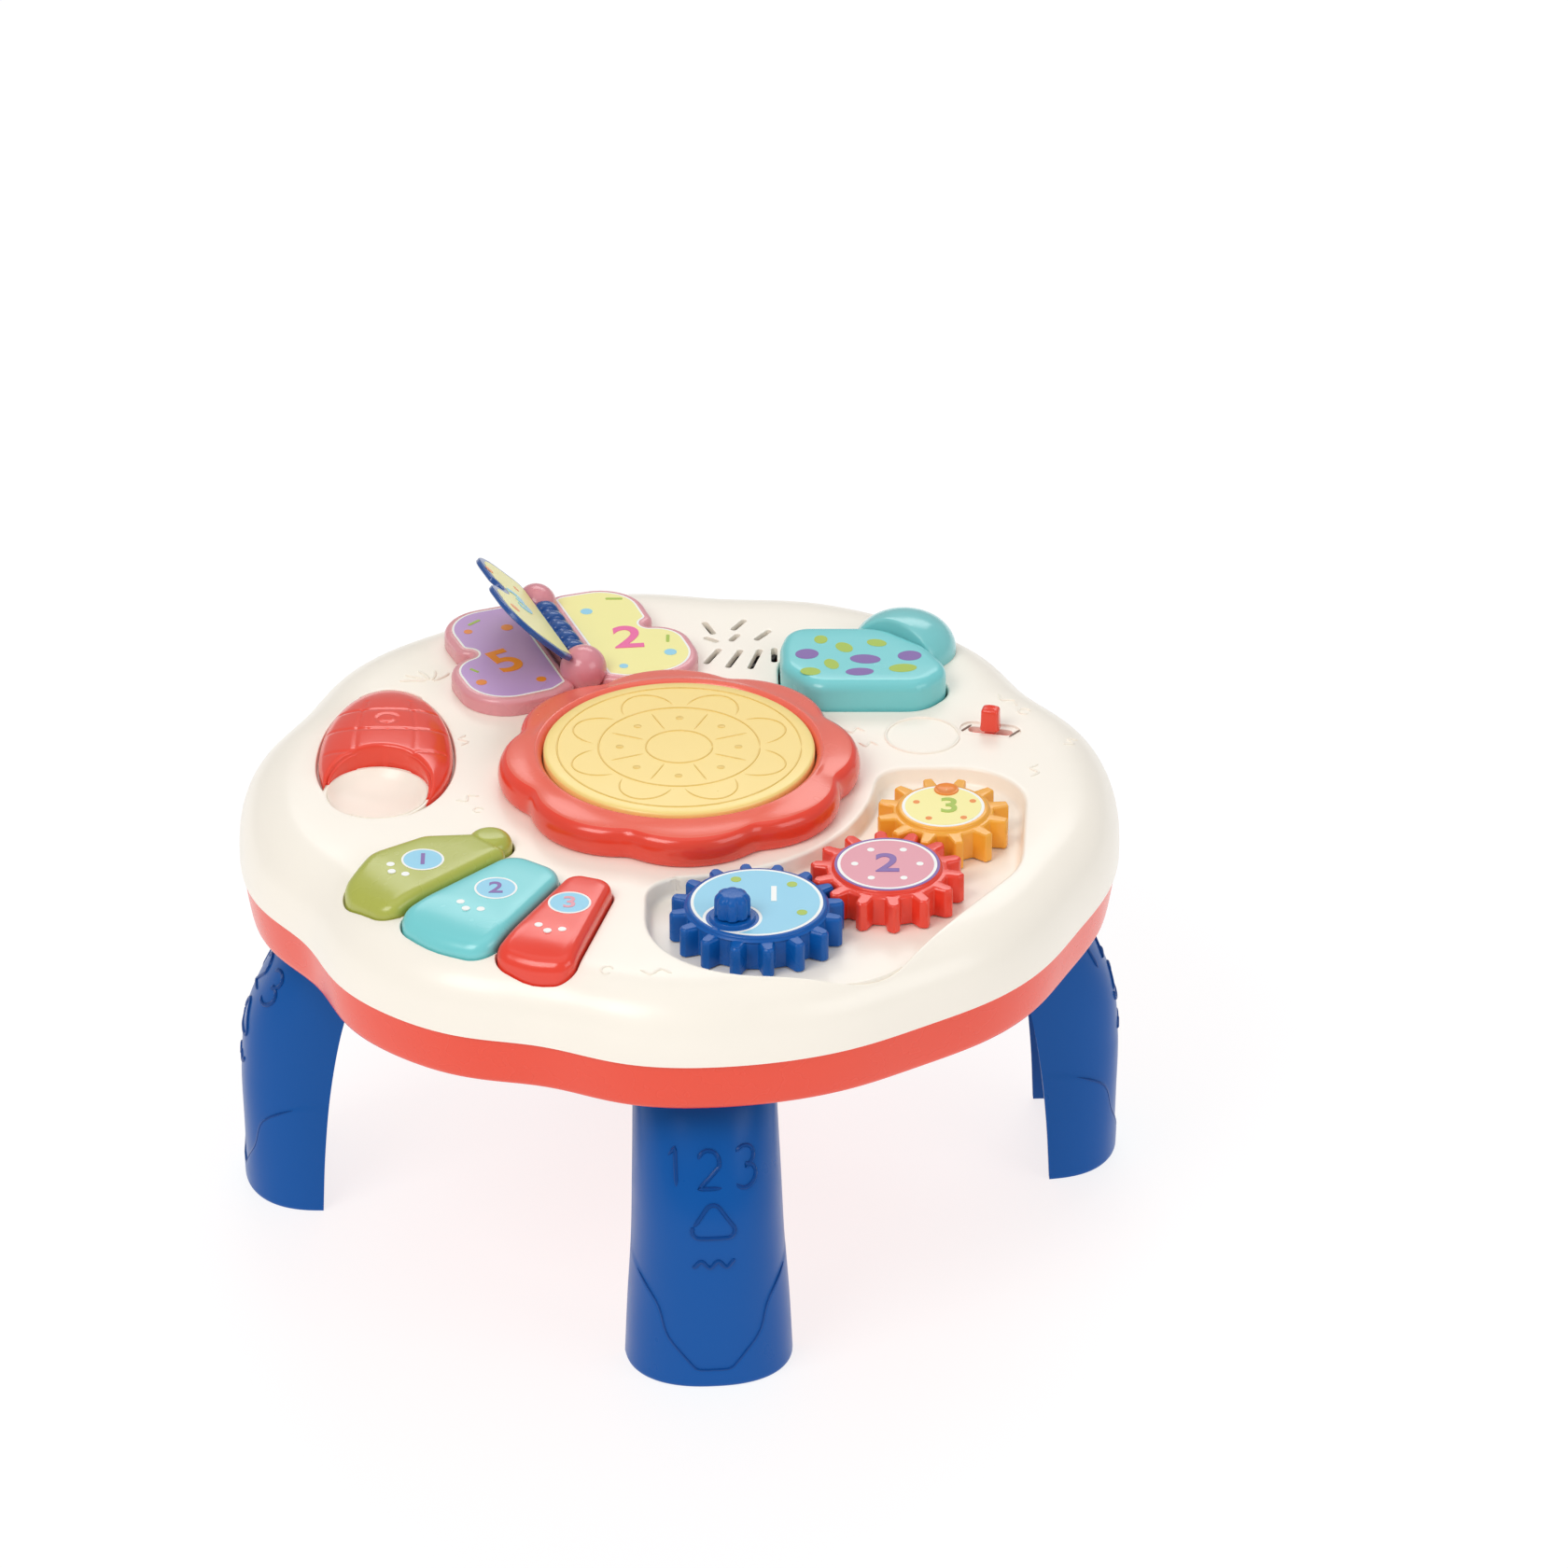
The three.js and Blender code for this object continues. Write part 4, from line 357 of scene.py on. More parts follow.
def piece(name, parts, body, nodes):
    """One object out of closed parts, each (vertices in mm, faces, material or one material a face)."""
    verts, faces, looks, start = [], [], [], 0
    for part_verts, part_faces, look in parts:
        part_verts = np.asarray(part_verts, float)
        fan = np.array([(f[0], f[k], f[k + 1]) for f in part_faces for k in range(1, len(f) - 1)])
        a, b, c = (part_verts[fan[:, k]] for k in range(3))
        way = 1 if (a * np.cross(b, c)).sum() > 0 else -1
        faces += [tuple(int(start + i) for i in f[::way]) for f in part_faces]
        looks += look if isinstance(look, list) else [look] * len(part_faces)
        verts.append(part_verts)
        start += len(part_verts)
    materials = list(dict.fromkeys(looks))
    mesh = raw_mesh(name, np.vstack(verts), faces)
    for material in materials:
        mesh.materials.append(material)
    mesh.polygons.foreach_set("material_index", [materials.index(look) for look in looks])
    mesh.polygons.foreach_set("use_smooth", [True] * len(faces))
    mesh.validate()
    mesh.set_sharp_from_angle(angle=SHARP_EDGE)
    thing = linked(name, mesh)
    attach(thing, body)
    if nodes:
        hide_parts(*nodes)


def scallop(azimuth):
    places, depths = np.array(DIPS).T
    away = (np.degrees(azimuth)[..., None] - places + 180) % 360 - 180
    return RIM - DIP_DEPTH * (depths * np.exp(-(away / DIP_SPREAD) ** 2)).sum(axis=-1)


def inset_of(xy):
    """How far a place lies inside the scalloped rim."""
    return scallop(np.arctan2(xy[:, 1], xy[:, 0])) - np.hypot(xy[:, 0], xy[:, 1])


def crown(xy):
    """Height of the shell's outside over a place, without its openings."""
    run = np.clip(inset_of(xy), 0, SHOULDER)
    c = (1 - run / SHOULDER) ** (SOFTNESS / 2)
    return SEAM + SKIRT + (TOP - SEAM - SKIRT) * np.sqrt(np.clip(1 - c * c, 0, 1)) ** (2 / SOFTNESS)


def key_corners(name):
    if name == "green":
        reach, half = KEY_END - KEY_START, KEY_HALF
        return [*((KEY_START + reach * x, y * half, r * half) for x, y, r in (
            (0.03, -0.35, 0.2), (0.3, -0.9, 0.5), (0.68, -0.98, 0.75), (1.06, -0.4, 0.62))),
                (KEY_END, 21.3, 0.4 * half), (KEY_START, 12.5, 0.2 * half)]
    half = math.tan(math.radians(KEY_SPREADS[name]))
    inner, outer = KEY_START * half - 0.6, KEY_END * half - 0.6
    return [(KEY_START, -inner, inner * 0.78), (KEY_END, -outer, outer * 0.45),
            (KEY_END + outer * 0.19, 0, outer * 1.9),
            (KEY_END, outer, outer * 0.45), (KEY_START, inner, inner * 0.78)]


def key_opening(name, grow):
    corners = key_corners(name)
    if name == "green":
        stem = [(KEY_START, 7.2, 0.8), (88.3, 7.24, 9.3), (88.3, -11.8, 9.3)]
        corners = [(104, -11.8, 2.5), *corners[1:], *stem]
    return turned_to(rounded(corners, grow), 0, 0, KEY_FANS[name])


def gear_bed(grow):
    corners = []
    for g, x, y, r in ((0, -1, 0.73, 0.36), (0, -1, -1, 1), (1, -0.1, -1.87, 0.9), (2, 0.86, -1, 1.1),
                       (2, 0.98, 1.27, 0.8), (2, -0.7, 1.22, 0.36)):
        gear_x, gear_y, tip = GEARS[g]
        room = tip + BED_MARGIN
        corners.append((gear_x + x * room, gear_y + y * room, r * room))
    for a in (-13, -31, -49, -67, -85):
        corners.append((BED_INNER * math.cos(math.radians(a)), BED_INNER * math.sin(math.radians(a)), 70))
    return rounded(corners, grow, 8)


def lid_edge(grow, bay=0.0):
    """The lid's outline. With bay, the bump at the back where its hinge sits reaches that much further."""
    a = np.arange(480) * 2 * np.pi / 480
    more = bay * np.clip((13.6 - np.abs(LID_HALF * np.cos(a))) / 0.9, 0, 1) * (np.sin(a) > 0)
    reach = np.where(np.sin(a) > 0, LID_BACK, LID_FRONT) + grow + more
    return np.column_stack([LID_X + (LID_HALF + grow) * np.cos(a), LID_Y + reach * np.sin(a)])


def bitten(grow, radius, bay=0.0):
    """The lid's outline with the round bite of the finger bowl out of its front."""
    def on_bite(angle):
        return BOWL_X + radius * math.cos(angle), BOWL_Y + radius * math.sin(angle)

    edge = lid_edge(grow, bay)
    away = np.hypot(edge[:, 0] - BOWL_X, edge[:, 1] - BOWL_Y)
    first = int(np.argmax((away > radius) & (np.roll(away, 1) <= radius)))
    edge = np.roll(edge, -first, axis=0)[np.roll(away, -first) > radius]
    start, end = (math.atan2(y - BOWL_Y, x - BOWL_X) for x, y in (edge[-1], edge[0]))
    sweep = (end - start) % (2 * math.pi)
    if not inside(np.array([on_bite(start + sweep / 2)]), lid_edge(grow))[0]:
        sweep -= 2 * math.pi
    return even(np.vstack([edge, [on_bite(start + sweep * k / 59) for k in range(1, 59)]]), 260)


def capsule(length, width, grow=0.0):
    return rounded(oblong(length / 2, width / 2, width / 2 * 0.99), grow, 12.0)


def skin(boundary, loops, levels, loose, openings):
    """Plan, heights, triangles and rim of a moulding seen from outside; levels has heights for each loop."""
    xy, tris, origin = sheet(loose[:, :2], [boundary[:, :2], *loops], [boundary[:, :2]], openings)
    given = np.concatenate([loose[:, 2], boundary[:, 2], *levels])
    z = np.array([given[o[0]] if o else np.nan for o in origin])
    for i in np.flatnonzero(np.isnan(z)):
        known = ~np.isnan(z)
        near = np.argsort(np.hypot(*(xy[known] - xy[i]).T))[:2]
        z[i] = z[known][near].mean()
    last = len(loose) + len(boundary)
    return xy, z, tris, {i for i, o in enumerate(origin) if o and len(loose) <= o[0] < last}


def double(xy, z, tris, rim, inner_xy, inner_z, path):
    """Closes a skin with its inner side: straight in its openings, and at its rim along path (inset, z)."""
    count = len(xy)
    verts = np.vstack([at_height(xy, z), at_height(inner_xy, inner_z)])
    faces = [tuple(t) for t in tris] + [tuple(t[::-1] + count) for t in tris]
    extra, chain = [], {}
    for a, b in edge_of(tris):
        if a not in rim or b not in rim:
            faces.append((b, a, a + count, b + count))
            continue
        for v in (a, b):
            if v not in chain:
                chain[v] = [v, *(2 * count + len(extra) + k for k in range(len(path))), v + count]
                extra += [(*(xy[v] * (1 - inset / np.hypot(*xy[v]))), level) for inset, level in path]
        faces += [(chain[b][k], chain[a][k], chain[a][k + 1], chain[b][k + 1]) for k in range(len(path) + 1)]
    return np.vstack([verts, extra]), faces


def moved_in(xy, distance):
    return xy * (1 - distance / np.maximum(np.hypot(*xy.T), 1))[:, None]


azimuths = np.arange(360) * 2 * np.pi / 360
around, reach = circle(1, 360), scallop(azimuths)


def make_top_shell():
    loops, levels, openings, guards = [], [], [], []

    def ring(outline, heights):
        loops.append(outline)
        levels.append(np.full(len(outline), float(heights)) if np.isscalar(heights) else heights)

    def rim(outline, soft):
        guards.append(outline(soft + RIM_ROOM))
        ring(outline(soft + 0.9), crown(outline(soft + 0.9)))
        for a in (math.pi / 2 * k / 5 for k in range(6)):
            edge = outline(soft * (1 - math.sin(a)))
            ring(edge, crown(edge) - soft * (1 - math.cos(a)))

    def opening(outline, soft):
        rim(outline, soft)
        openings.append(loops[-1])

    def pocket(outline, level, soft, foot, lean):
        rim(outline, soft)
        for a in (math.pi / 2 * k / 4 for k in range(5)):
            edge = outline(-lean - foot * (1 - math.cos(a)))
            ring(edge, level(edge) + foot * (1 - math.sin(a)))
        edge = outline(-lean - foot - 0.7)
        ring(edge, level(edge))

    def well_level(o):
        at_hinge = (o[:, 1] > HINGE_START) & (np.abs(o[:, 0] - LID_X) < HINGE_HALF)
        return np.where(at_hinge, HINGE_LEVEL, WELL_LEVEL)

    for name in KEY_FANS:
        opening(lambda g, n=name: key_opening(n, KEY_GAP + g), 0.55 if name != "green" else 0.5)
    opening(lambda g: rounded(BUTTON, BUTTON_GAP + g), BUTTON_RIM)
    pocket(gear_bed, lambda o: np.full(len(o), BED_LEVEL), 1.6, 2.4, 0.5)
    for x, y, _ in GEARS:
        ring(circle(GEAR_HOLE, 40, x, y), BED_LEVEL)
        openings.append(loops[-1])
    pocket(lambda g: bitten(1.0 + g, 22.7 - g, 3.0), well_level, 0.7, 0.3, 0.25)
    for a in (math.pi / 2 * k / 3 for k in range(4)):
        inset = WELL_LEDGE + WELL_SOFT * math.sin(a)
        edge = bitten(-inset, WELL_BITE + inset)
        ring(edge, np.minimum(well_level(edge) - WELL_SOFT * (1 - math.cos(a)), WELL_LEVEL))
    for inset, level in WELL_STEPS:
        ring(bitten(-inset, WELL_BITE + inset), level)
    rim(lambda g: circle(BOWL_RADIUS + g, 120, BOWL_X, BOWL_Y), 0.7)
    guards.pop()
    for k in range(1, 9):
        r = BOWL_RADIUS - BOWL_RADIUS * k / 9
        ring(circle(r, 120 if k < 5 else 60, BOWL_X, BOWL_Y),
             TOP - 0.7 - BOWL_DEPTH * (1 - (r / BOWL_RADIUS) ** 2.2) ** 0.75)
    pocket(lambda g: turned_to(capsule(26, 11, g), *SWITCH),
           lambda o: np.full(len(o), TRACK_LEVEL), 0.4, 0.15, 0.1)
    ring(turned_to(capsule(19.2, 5), *SWITCH), TRACK_LEVEL)
    openings.append(loops[-1])
    for x, y, length, turn in GRILLE:
        opening(lambda g, p=(x, y, turn), long=length: turned_to(capsule(long, 2.6, g), *p), 0.35)
        guards[-1] = turned_to(capsule(length, 2.6, 1.5), x, y, turn)
    for hole in (circle(DRUM_HOLE, 32), circle(LAMP_HOLE, 24, *LAMP_PLACE)):
        ring(hole, crown(hole))
        openings.append(hole)
    boundary = at_height(around * reach[:, None], SEAM + SKIRT)
    loose = []
    for k in range(1, 13):
        run = SHOULDER * (1 - math.cos(math.pi / 2 * k / 12) ** (2 / SOFTNESS))
        loose.append((around * (reach - run)[:, None])[::1 if k < 7 else 2])
    grid = np.array([((x + (y % 2) / 2) * SHEET_PITCH, y * SHEET_ROW)
                     for x in range(-24, 25) for y in range(-27, 28)])
    loose = np.vstack([*loose, grid[np.hypot(*grid.T) < SHEET_REACH]])
    for guard in guards:
        loose = loose[~inside(loose, guard)]
    for x, y, _ in GEARS:
        loose = loose[np.hypot(loose[:, 0] - x, loose[:, 1] - y) > 7]
    xy, z, tris, rim_points = skin(boundary, loops, levels, at_height(loose, crown(loose)), openings)
    inner = moved_in(xy, SHELL_WALL * np.clip(1 - inset_of(xy) / SHOULDER, 0, 1))
    return double(xy, z, tris, rim_points, inner, z - SHELL_WALL, [(0, SEAM), (SHELL_WALL, SEAM)])


def box_part(x0, x1, y0, y1, z0, z1, soft):
    corners = [(x0, y0, soft), (x1, y0, soft), (x1, y1, soft), (x0, y1, soft)]
    rings = [at_height(rounded(corners, -soft), z0), at_height(rounded(corners), z0 + soft)]
    rings += [at_height(rounded(corners, -i), z1 - d) for i, d in fillet(soft, 3)]
    return loft(rings)


cream = finish("cream_polypropylene", "#FFF7EA", 0.33, grain=0.18)
shell_parts = [(*make_top_shell(), cream)]
for x in (LID_X - EAR_REACH, LID_X + EAR_REACH):
    shell_parts.append((*box_part(x - EAR_HALF, x + EAR_HALF, *EAR_BOX, EAR_SOFT), cream))
piece("top_shell_skin", shell_parts, "table", ["top_shell"])


# Red tray. The second large moulding, a shallow tub whose leaning wall is the band under the ivory top. It
# has the counterbores of the housing screws and the seat of the battery door, and the legs push into it.
TRAY_FLOOR, TRAY_WALL, TRAY_HEM, TRAY_LIP = 131.0, 2.5, 153.2, 157.5
SCREW_CIRCLE = 151
SCREWS = [(SCREW_CIRCLE * math.cos(math.radians(a)), SCREW_CIRCLE * math.sin(math.radians(a)))
          for a in (31, 117, 143, -156.5, -61, -20)]
DOOR_SEAT = ((-28.5, -25.5, 0.6), (-5, -25.5, 0.4), (-5, -36, 1.2), (5, -36, 1.2), (5, -25.5, 0.4),
             (28.5, -25.5, 0.6), (28.5, 25.5, 0.6), (-28.5, 25.5, 0.6))


def make_tray():
    """Made face down, because skin and double build from outside, and turned over at the end."""
    wall = [(1.3, 150.0), (2.2, 143.5), (3.1, 138.0), (3.8, 134.2), (4.2, 132.6), (4.8, 131.6), (5.4, 131.15),
            (6.2, TRAY_FLOOR), (8.5, TRAY_FLOOR)]
    boundary = at_height(around * (reach - 0.8)[:, None], -TRAY_HEM)
    rings = stacked(lambda inset: around * (reach - inset)[:, None], wall)
    guards = []
    for x, y in SCREWS:
        rings += stacked(lambda radius, x=x, y=y: circle(radius, 32, x, y), (
            (4.2, 131), (3.7, 131.1), (3.3, 131.6), (3.25, 136.4), (3.0, 137), (1.6, 137)))
        guards.append(circle(5.2, 24, x, y))
    rings += stacked(lambda g: rounded(DOOR_SEAT, g), ((1.4, 131), (0.7, 131.15), (0.4, 131.5), (0.35, 133.4),
                                                       (-0.4, 133.4)))
    guards.append(rounded([(-32, -40, 3), (32, -40, 3), (32, 30, 3), (-32, 30, 3)]))
    loose = np.array([(x * 11.0 + (y % 2) * 5.5, y * 9.5) for x in range(-15, 16) for y in range(-17, 18)])
    loose = loose[np.hypot(*loose.T) < 160]
    for guard in guards:
        loose = loose[~inside(loose, guard)]
    xy, z, tris, rim_points = skin(boundary, [r[:, :2] for r in rings], [-r[:, 2] for r in rings],
                                   at_height(loose, -TRAY_FLOOR), [])
    near = np.clip((z + TRAY_FLOOR) / (TRAY_FLOOR - TRAY_HEM), 0, 1)
    verts, faces = double(xy, z, tris, rim_points, moved_in(xy, TRAY_WALL * near), z - TRAY_WALL * (1 - near),
                          [(2.4, -TRAY_HEM), (2.6, -TRAY_LIP), (4.4, -TRAY_LIP)])
    verts[:, 2] *= -1
    return verts, faces


band_red = finish("band_red", "#F24B30", 0.27, grain=0.03, wave=0.05)
piece("tray_skin", [(*make_tray(), band_red)], "table", ["lower_tray"])


# Legs. Four hollow blue mouldings, open at their back, with a cross web, pushed into the tray. Each has the
# shape of a boot at its foot, whose edge is drawn by a thin line, and raised marks above it, all moulded in
# one shot. The line and the marks are coloured a darker blue, as painted shade along the relief.
LEG_TURNS = {"leg_front": -85.3, "leg_right": 4.7, "leg_back": 94.7, "leg_left": 184.7}
LEG_HIGH, LEG_REACH, LEG_HALF, LEG_WALL = 130.7, 189.3, 36.3, 3
LEG = ((0.0, 0.991, 0.822, 0.965), (0.2, 0.995, 0.815, 0.93), (0.42, 0.997, 0.8, 0.878),
       (0.62, 0.981, 0.776, 0.853), (0.82, 0.917, 0.74, 0.829), (1.0, 0.835, 0.713, 0.813))
BOOT = [(x * LEG_HALF, y * 50, r * LEG_HALF) for x, y, r in (
    (-0.2, 0.17, 0.12), (0.2, 0.17, 0.12), (0.54, 0.48, 0.5), (0.62, 0.76, 0.5), (0.98, 1.08, 0.05),
    (0.98, 1.3, 0.01), (-0.98, 1.3, 0.01), (-0.98, 1.08, 0.05), (-0.62, 0.76, 0.5), (-0.54, 0.48, 0.5))]
BOOT_TOP, BOOT_STEP, BOOT_RAMP, BOOT_LINE_TOP = 52, 0.9, 1.6, 49.4
WEB_LEVELS, WEB_CHECK, WEB_INSET = (46, 48.4), 47.2, 1.5
FOOT_SOFT, LEG_POINTS = 1.4, 121
MARK_RADIUS, MARK_SUNK, EDGE_RADIUS, EDGE_SUNK = 0.92, 1.0, 0.5, 0.5


def leg_section(z):
    """Outer face, inner edge and half width at a height, on a smooth curve through the rows of LEG."""
    t = np.atleast_1d(np.asarray(z, float)) / LEG_HIGH
    at, *columns = np.array(LEG).T
    k = np.clip(np.searchsorted(at, t, side="right") - 1, 0, len(at) - 2)
    h = at[k + 1] - at[k]
    u = np.clip((t - at[k]) / h, 0, 1)
    out = []
    for column, size in zip(columns, (LEG_REACH, LEG_REACH, LEG_HALF)):
        values = column * size
        slope = np.gradient(values, at)
        out.append((2 * u ** 3 - 3 * u ** 2 + 1) * values[k] + (u ** 3 - 2 * u ** 2 + u) * h * slope[k]
                   + (3 * u ** 2 - 2 * u ** 3) * values[k + 1] + (u ** 3 - u ** 2) * h * slope[k + 1])
    return out


def leg_face(y, z):
    outer, inner, half = leg_section(z)
    return inner + (outer - inner) * (1 - np.clip(np.abs(y) / half, 0, 1) ** SOFTNESS) ** (1 / SOFTNESS)


def leg_arc(turn, deep, wide):
    """The round of a leg's section, as depth and width over a turn from one of its edges to the other."""
    s = np.sin(turn)
    return deep * np.cos(turn) ** (2 / SOFTNESS), wide * np.sign(s) * np.abs(s) ** (2 / SOFTNESS)


def depth_in(points, outline):
    """Distance to an outline, positive inside it."""
    best = np.full(len(points), 1e9)
    for a, b in zip(outline, np.roll(outline, -1, axis=0)):
        along = b - a
        t = np.clip(((points - a) @ along) / max(along @ along, 1e-9), 0, 1)
        best = np.minimum(best, np.hypot(*(points - a - t[:, None] * along).T))
    return np.where(inside(points, outline), best, -best)


def make_leg():
    theta = np.linspace(-np.pi / 2, np.pi / 2, LEG_POINTS)
    c, s = np.cos(theta), np.sin(theta)
    window = rounded(BOOT)
    rings = []
    for z in np.concatenate([[0, 0.25, 0.7, FOOT_SOFT], np.linspace(2.4, LEG_HIGH, 108)]):
        outer, inner, half = (v[0] for v in leg_section(z))
        ease = max(0.0, FOOT_SOFT - z) ** 2 * 0.45
        deep, y = leg_arc(theta, outer - inner, half)
        depth = np.maximum(depth_in(at_height(y[:, None], z), window), z - BOOT_TOP)
        sink = np.clip(depth / BOOT_RAMP + 0.5, 0, 1)
        push = -(BOOT_STEP * sink * sink * (3 - 2 * sink) + ease) * np.clip(c, 0, 1) ** 0.5
        outside = np.column_stack([inner + deep + push * c, y * (1 + push / half * np.abs(s))])
        deep, y = leg_arc(theta, outer - inner - LEG_WALL, half - LEG_WALL)
        rings.append(at_height(np.vstack([outside, np.column_stack([inner + deep, y])[::-1]]), z))
    return loft(rings)


def make_web():
    outer, inner, half = (v[0] for v in leg_section(WEB_CHECK))
    deep, y = leg_arc(np.linspace(-1.45, 1.45, 41), outer - inner - WEB_INSET, half - WEB_INSET)
    return loft([at_height(np.column_stack([inner + deep, y]), z) for z in WEB_LEVELS])


def stroke(path, radius, sides=8):
    """A tube with tapered ends along a path, for a raised or sunk line."""
    path = np.asarray(path, float)
    way = np.gradient(path, axis=0)
    way /= np.linalg.norm(way, axis=1)[:, None]
    a = np.arange(sides) * 2 * np.pi / sides
    rings = []
    for p, d, t in zip(path, way, np.linspace(0, 1, len(path))):
        side = np.cross(d, (0, 0, 1))
        side /= max(np.linalg.norm(side), 1e-9)
        r = radius * min(1, math.sqrt(max(0.02, 4 * min(t, 1 - t) * len(path) / 12)))
        rings.append(p + r * (np.cos(a)[:, None] * side + np.sin(a)[:, None] * np.cross(side, d)))
    return loft(rings)


def on_leg(path, radius, below):
    path = np.array(path, float)
    runs = [a + (b - a) * np.linspace(0, 1, max(3, int(np.hypot(*(b - a)) / 0.8)))[1:, None]
            for a, b in zip(path, path[1:])]
    y, z = np.vstack([path[:1], *runs]).T
    return stroke(np.column_stack([leg_face(y, z) - below, y, z]), radius)


def arc_path(x, y, radius, start, end):
    return [(x + radius * math.cos(t), y + radius * math.sin(t))
            for t in np.radians(np.linspace(start, end, 14))]


def leg_marks():
    """The numbers 1, 2 and 3, a triangle, a wave and the thin line of the boot's edge."""
    triangle = rounded([(-11.5, 72, 3), (11.5, 72, 3), (0, 88.5, 3.5)])
    marks = [[(-17.5, 103), (-14.6, 106.5), (-14.6, 92)],
             [*arc_path(-1.2, 101.8, 4.4, 165, -25), (-5.4, 92.2), (4.0, 92.2)],
             [*arc_path(13.6, 102.6, 3.9, 150, -80), *arc_path(13.8, 95.4, 4.4, 80, -150)],
             [*triangle, triangle[0]],
             [(y, 60 + 1.5 * math.sin(y * 0.9)) for y in np.linspace(-9, 9, 30)]]
    edge = rounded(BOOT)
    edge = np.roll(edge, -1 - np.flatnonzero(edge[:, 1] > BOOT_LINE_TOP).max(), axis=0)
    return [*(on_leg(mark, MARK_RADIUS, MARK_SUNK) for mark in marks),
            on_leg(edge[edge[:, 1] < BOOT_LINE_TOP], EDGE_RADIUS, EDGE_SUNK)]


leg_blue = finish("leg_blue", "#0455A4", 0.3, coat=0, ior=1.3)
# Painted shade: the relief lines get a darker blue than the moulding they are part of.
relief_shade_blue = finish("leg_relief_painted_shade", "#02448C", 0.3, coat=0, ior=1.3)
leg_parts = [(*make_leg(), leg_blue), (*make_web(), leg_blue), *[(*mark, relief_shade_blue) for mark in leg_marks()]]
for name, turn in LEG_TURNS.items():
    piece(name + "_skin", [(turned_to(v, 0, 0, turn), f, look) for v, f, look in leg_parts], "table", [name])


# Drum. A scalloped red ring fixed to the top, with its top and inner lining painted a paler salmon as painted
# light, lit brighter than its red sides, and a pale yellow striking disc that dips when it is hit. The disc
# has a light moulded pattern, and its plunger presses a rubber pad.
LOBE_REACH, LOBE_DIP, LOBE_TURN, LOBE_POINTS = 76.6, 6.4, math.radians(5.5), 640
RING_FOOT, SLOPE_END = 184.1, 61.4
RING_SIDE = ((-2.4, RING_FOOT), (-1.4, 184.5), (-0.7, 185.6), (-0.2, 187.2), (0, 189.2), (-0.1, 191.4),
             (-0.5, 193.4), (-1.2, 195.1), (-2.2, 196.4), (-3.6, 197.2), (-5.2, 197.6))
RING_SLOPE = ((0.3, 198.0), (0.6, 198.5), (0.85, 199.0))
PAINTED_LIGHT_START = 10
DISC = ((0, 168.2), (4.4, 168.2), (5, 168.8), (5, 196.9), (54.2, 196.9), (54.2, 187.6), (59.5, 187.6),
        (59.5, 189.6), (57.25, 189.8), (57.25, 198.5), (57.1, 199.1), (56.6, 199.6), (55.9, 199.85),
        (52, 199.95), (0, 200.0))
DISC_DOT = ((0, 199.8), (1.7, 199.8), (1.7, 200.0), (1.2, 200.2), (0, 200.25))
PATTERN_LEVEL, DOT_CIRCLE, LOBES, PETALS = 199.93, 25, 8, 8


def lobed(grow):
    """The scalloped outline of the ring, its inner corners smoothed over a short length."""
    a = np.arange(LOBE_POINTS) * 2 * np.pi / LOBE_POINTS
    r = LOBE_REACH - LOBE_DIP * (1 - np.abs(np.cos(LOBES / 2 * (a - LOBE_TURN))) ** 0.7)
    kernel = np.exp(-np.linspace(-2, 2, 25) ** 2)
    soft = np.convolve(np.concatenate([r[-12:], r, r[:12]]), kernel / kernel.sum(), "valid") + grow
    return np.column_stack([soft * np.cos(a), soft * np.sin(a)])


def sloped(share):
    """An outline of the ring's top, from lobed at share 0 to round at 1."""
    a = lobed(RING_SIDE[-1][0] - 1.5 * share)
    return a * (1 - share) + a / np.hypot(*a.T)[:, None] * SLOPE_END * share


def revolved(profile, count, x=0.0, y=0.0):
    """A body turned about an upright line, from (radius, z) pairs."""
    verts, rows, faces = [], [], []
    for radius, z in profile:
        ring = circle(radius, count, x, y) if radius >= 1e-6 else [(x, y)]
        rows.append(range(len(verts), len(verts) + len(ring)))
        verts += [(px, py, z) for px, py in ring]
    for low, high in zip(rows, rows[1:]):
        for i, j in zip(range(count), [*range(1, count), 0]):
            if len(low) > 1 and len(high) > 1:
                faces.append((low[i], low[j], high[j], high[i]))
            elif len(low) > 1:
                faces.append((low[i], low[j], high[0]))
            elif len(high) > 1:
                faces.append((low[0], high[j], high[i]))
    return np.array(verts), faces


def round_band(profile):
    """A closed band about the middle of the drum."""
    return loft(stacked(lambda radius: circle(radius, LOBE_POINTS), [*profile, profile[0]]), False, False)


def disc_pattern():
    """The raised lines of the disc, three rings with petals and rays between them, and its dots."""
    a = np.linspace(0, 2 * np.pi, 160)
    rings = [np.column_stack([r * np.cos(a), r * np.sin(a)]) for r in (51.5, 34.0, 14.0)]
    parts = [stroke(at_height(ring, PATTERN_LEVEL), 0.42, 6) for ring in rings]
    u = np.linspace(0, np.pi, 26)
    petal = np.column_stack([34.4 + 13.4 * np.sin(u), 11.2 * np.cos(u)])
    ray = np.column_stack([16 + np.linspace(0, 15, 16), np.zeros(16)])
    step = 360 / PETALS
    for turn in (np.arange(PETALS) + 0.5) * step:
        parts += [stroke(at_height(turned_to(line, 0, 0, turn), PATTERN_LEVEL), 0.4, 6)
                  for line in (petal, ray)]
        a = math.radians(turn + step / 2)
        parts.append(revolved(DISC_DOT, 20, DOT_CIRCLE * math.cos(a), DOT_CIRCLE * math.sin(a)))
    return parts


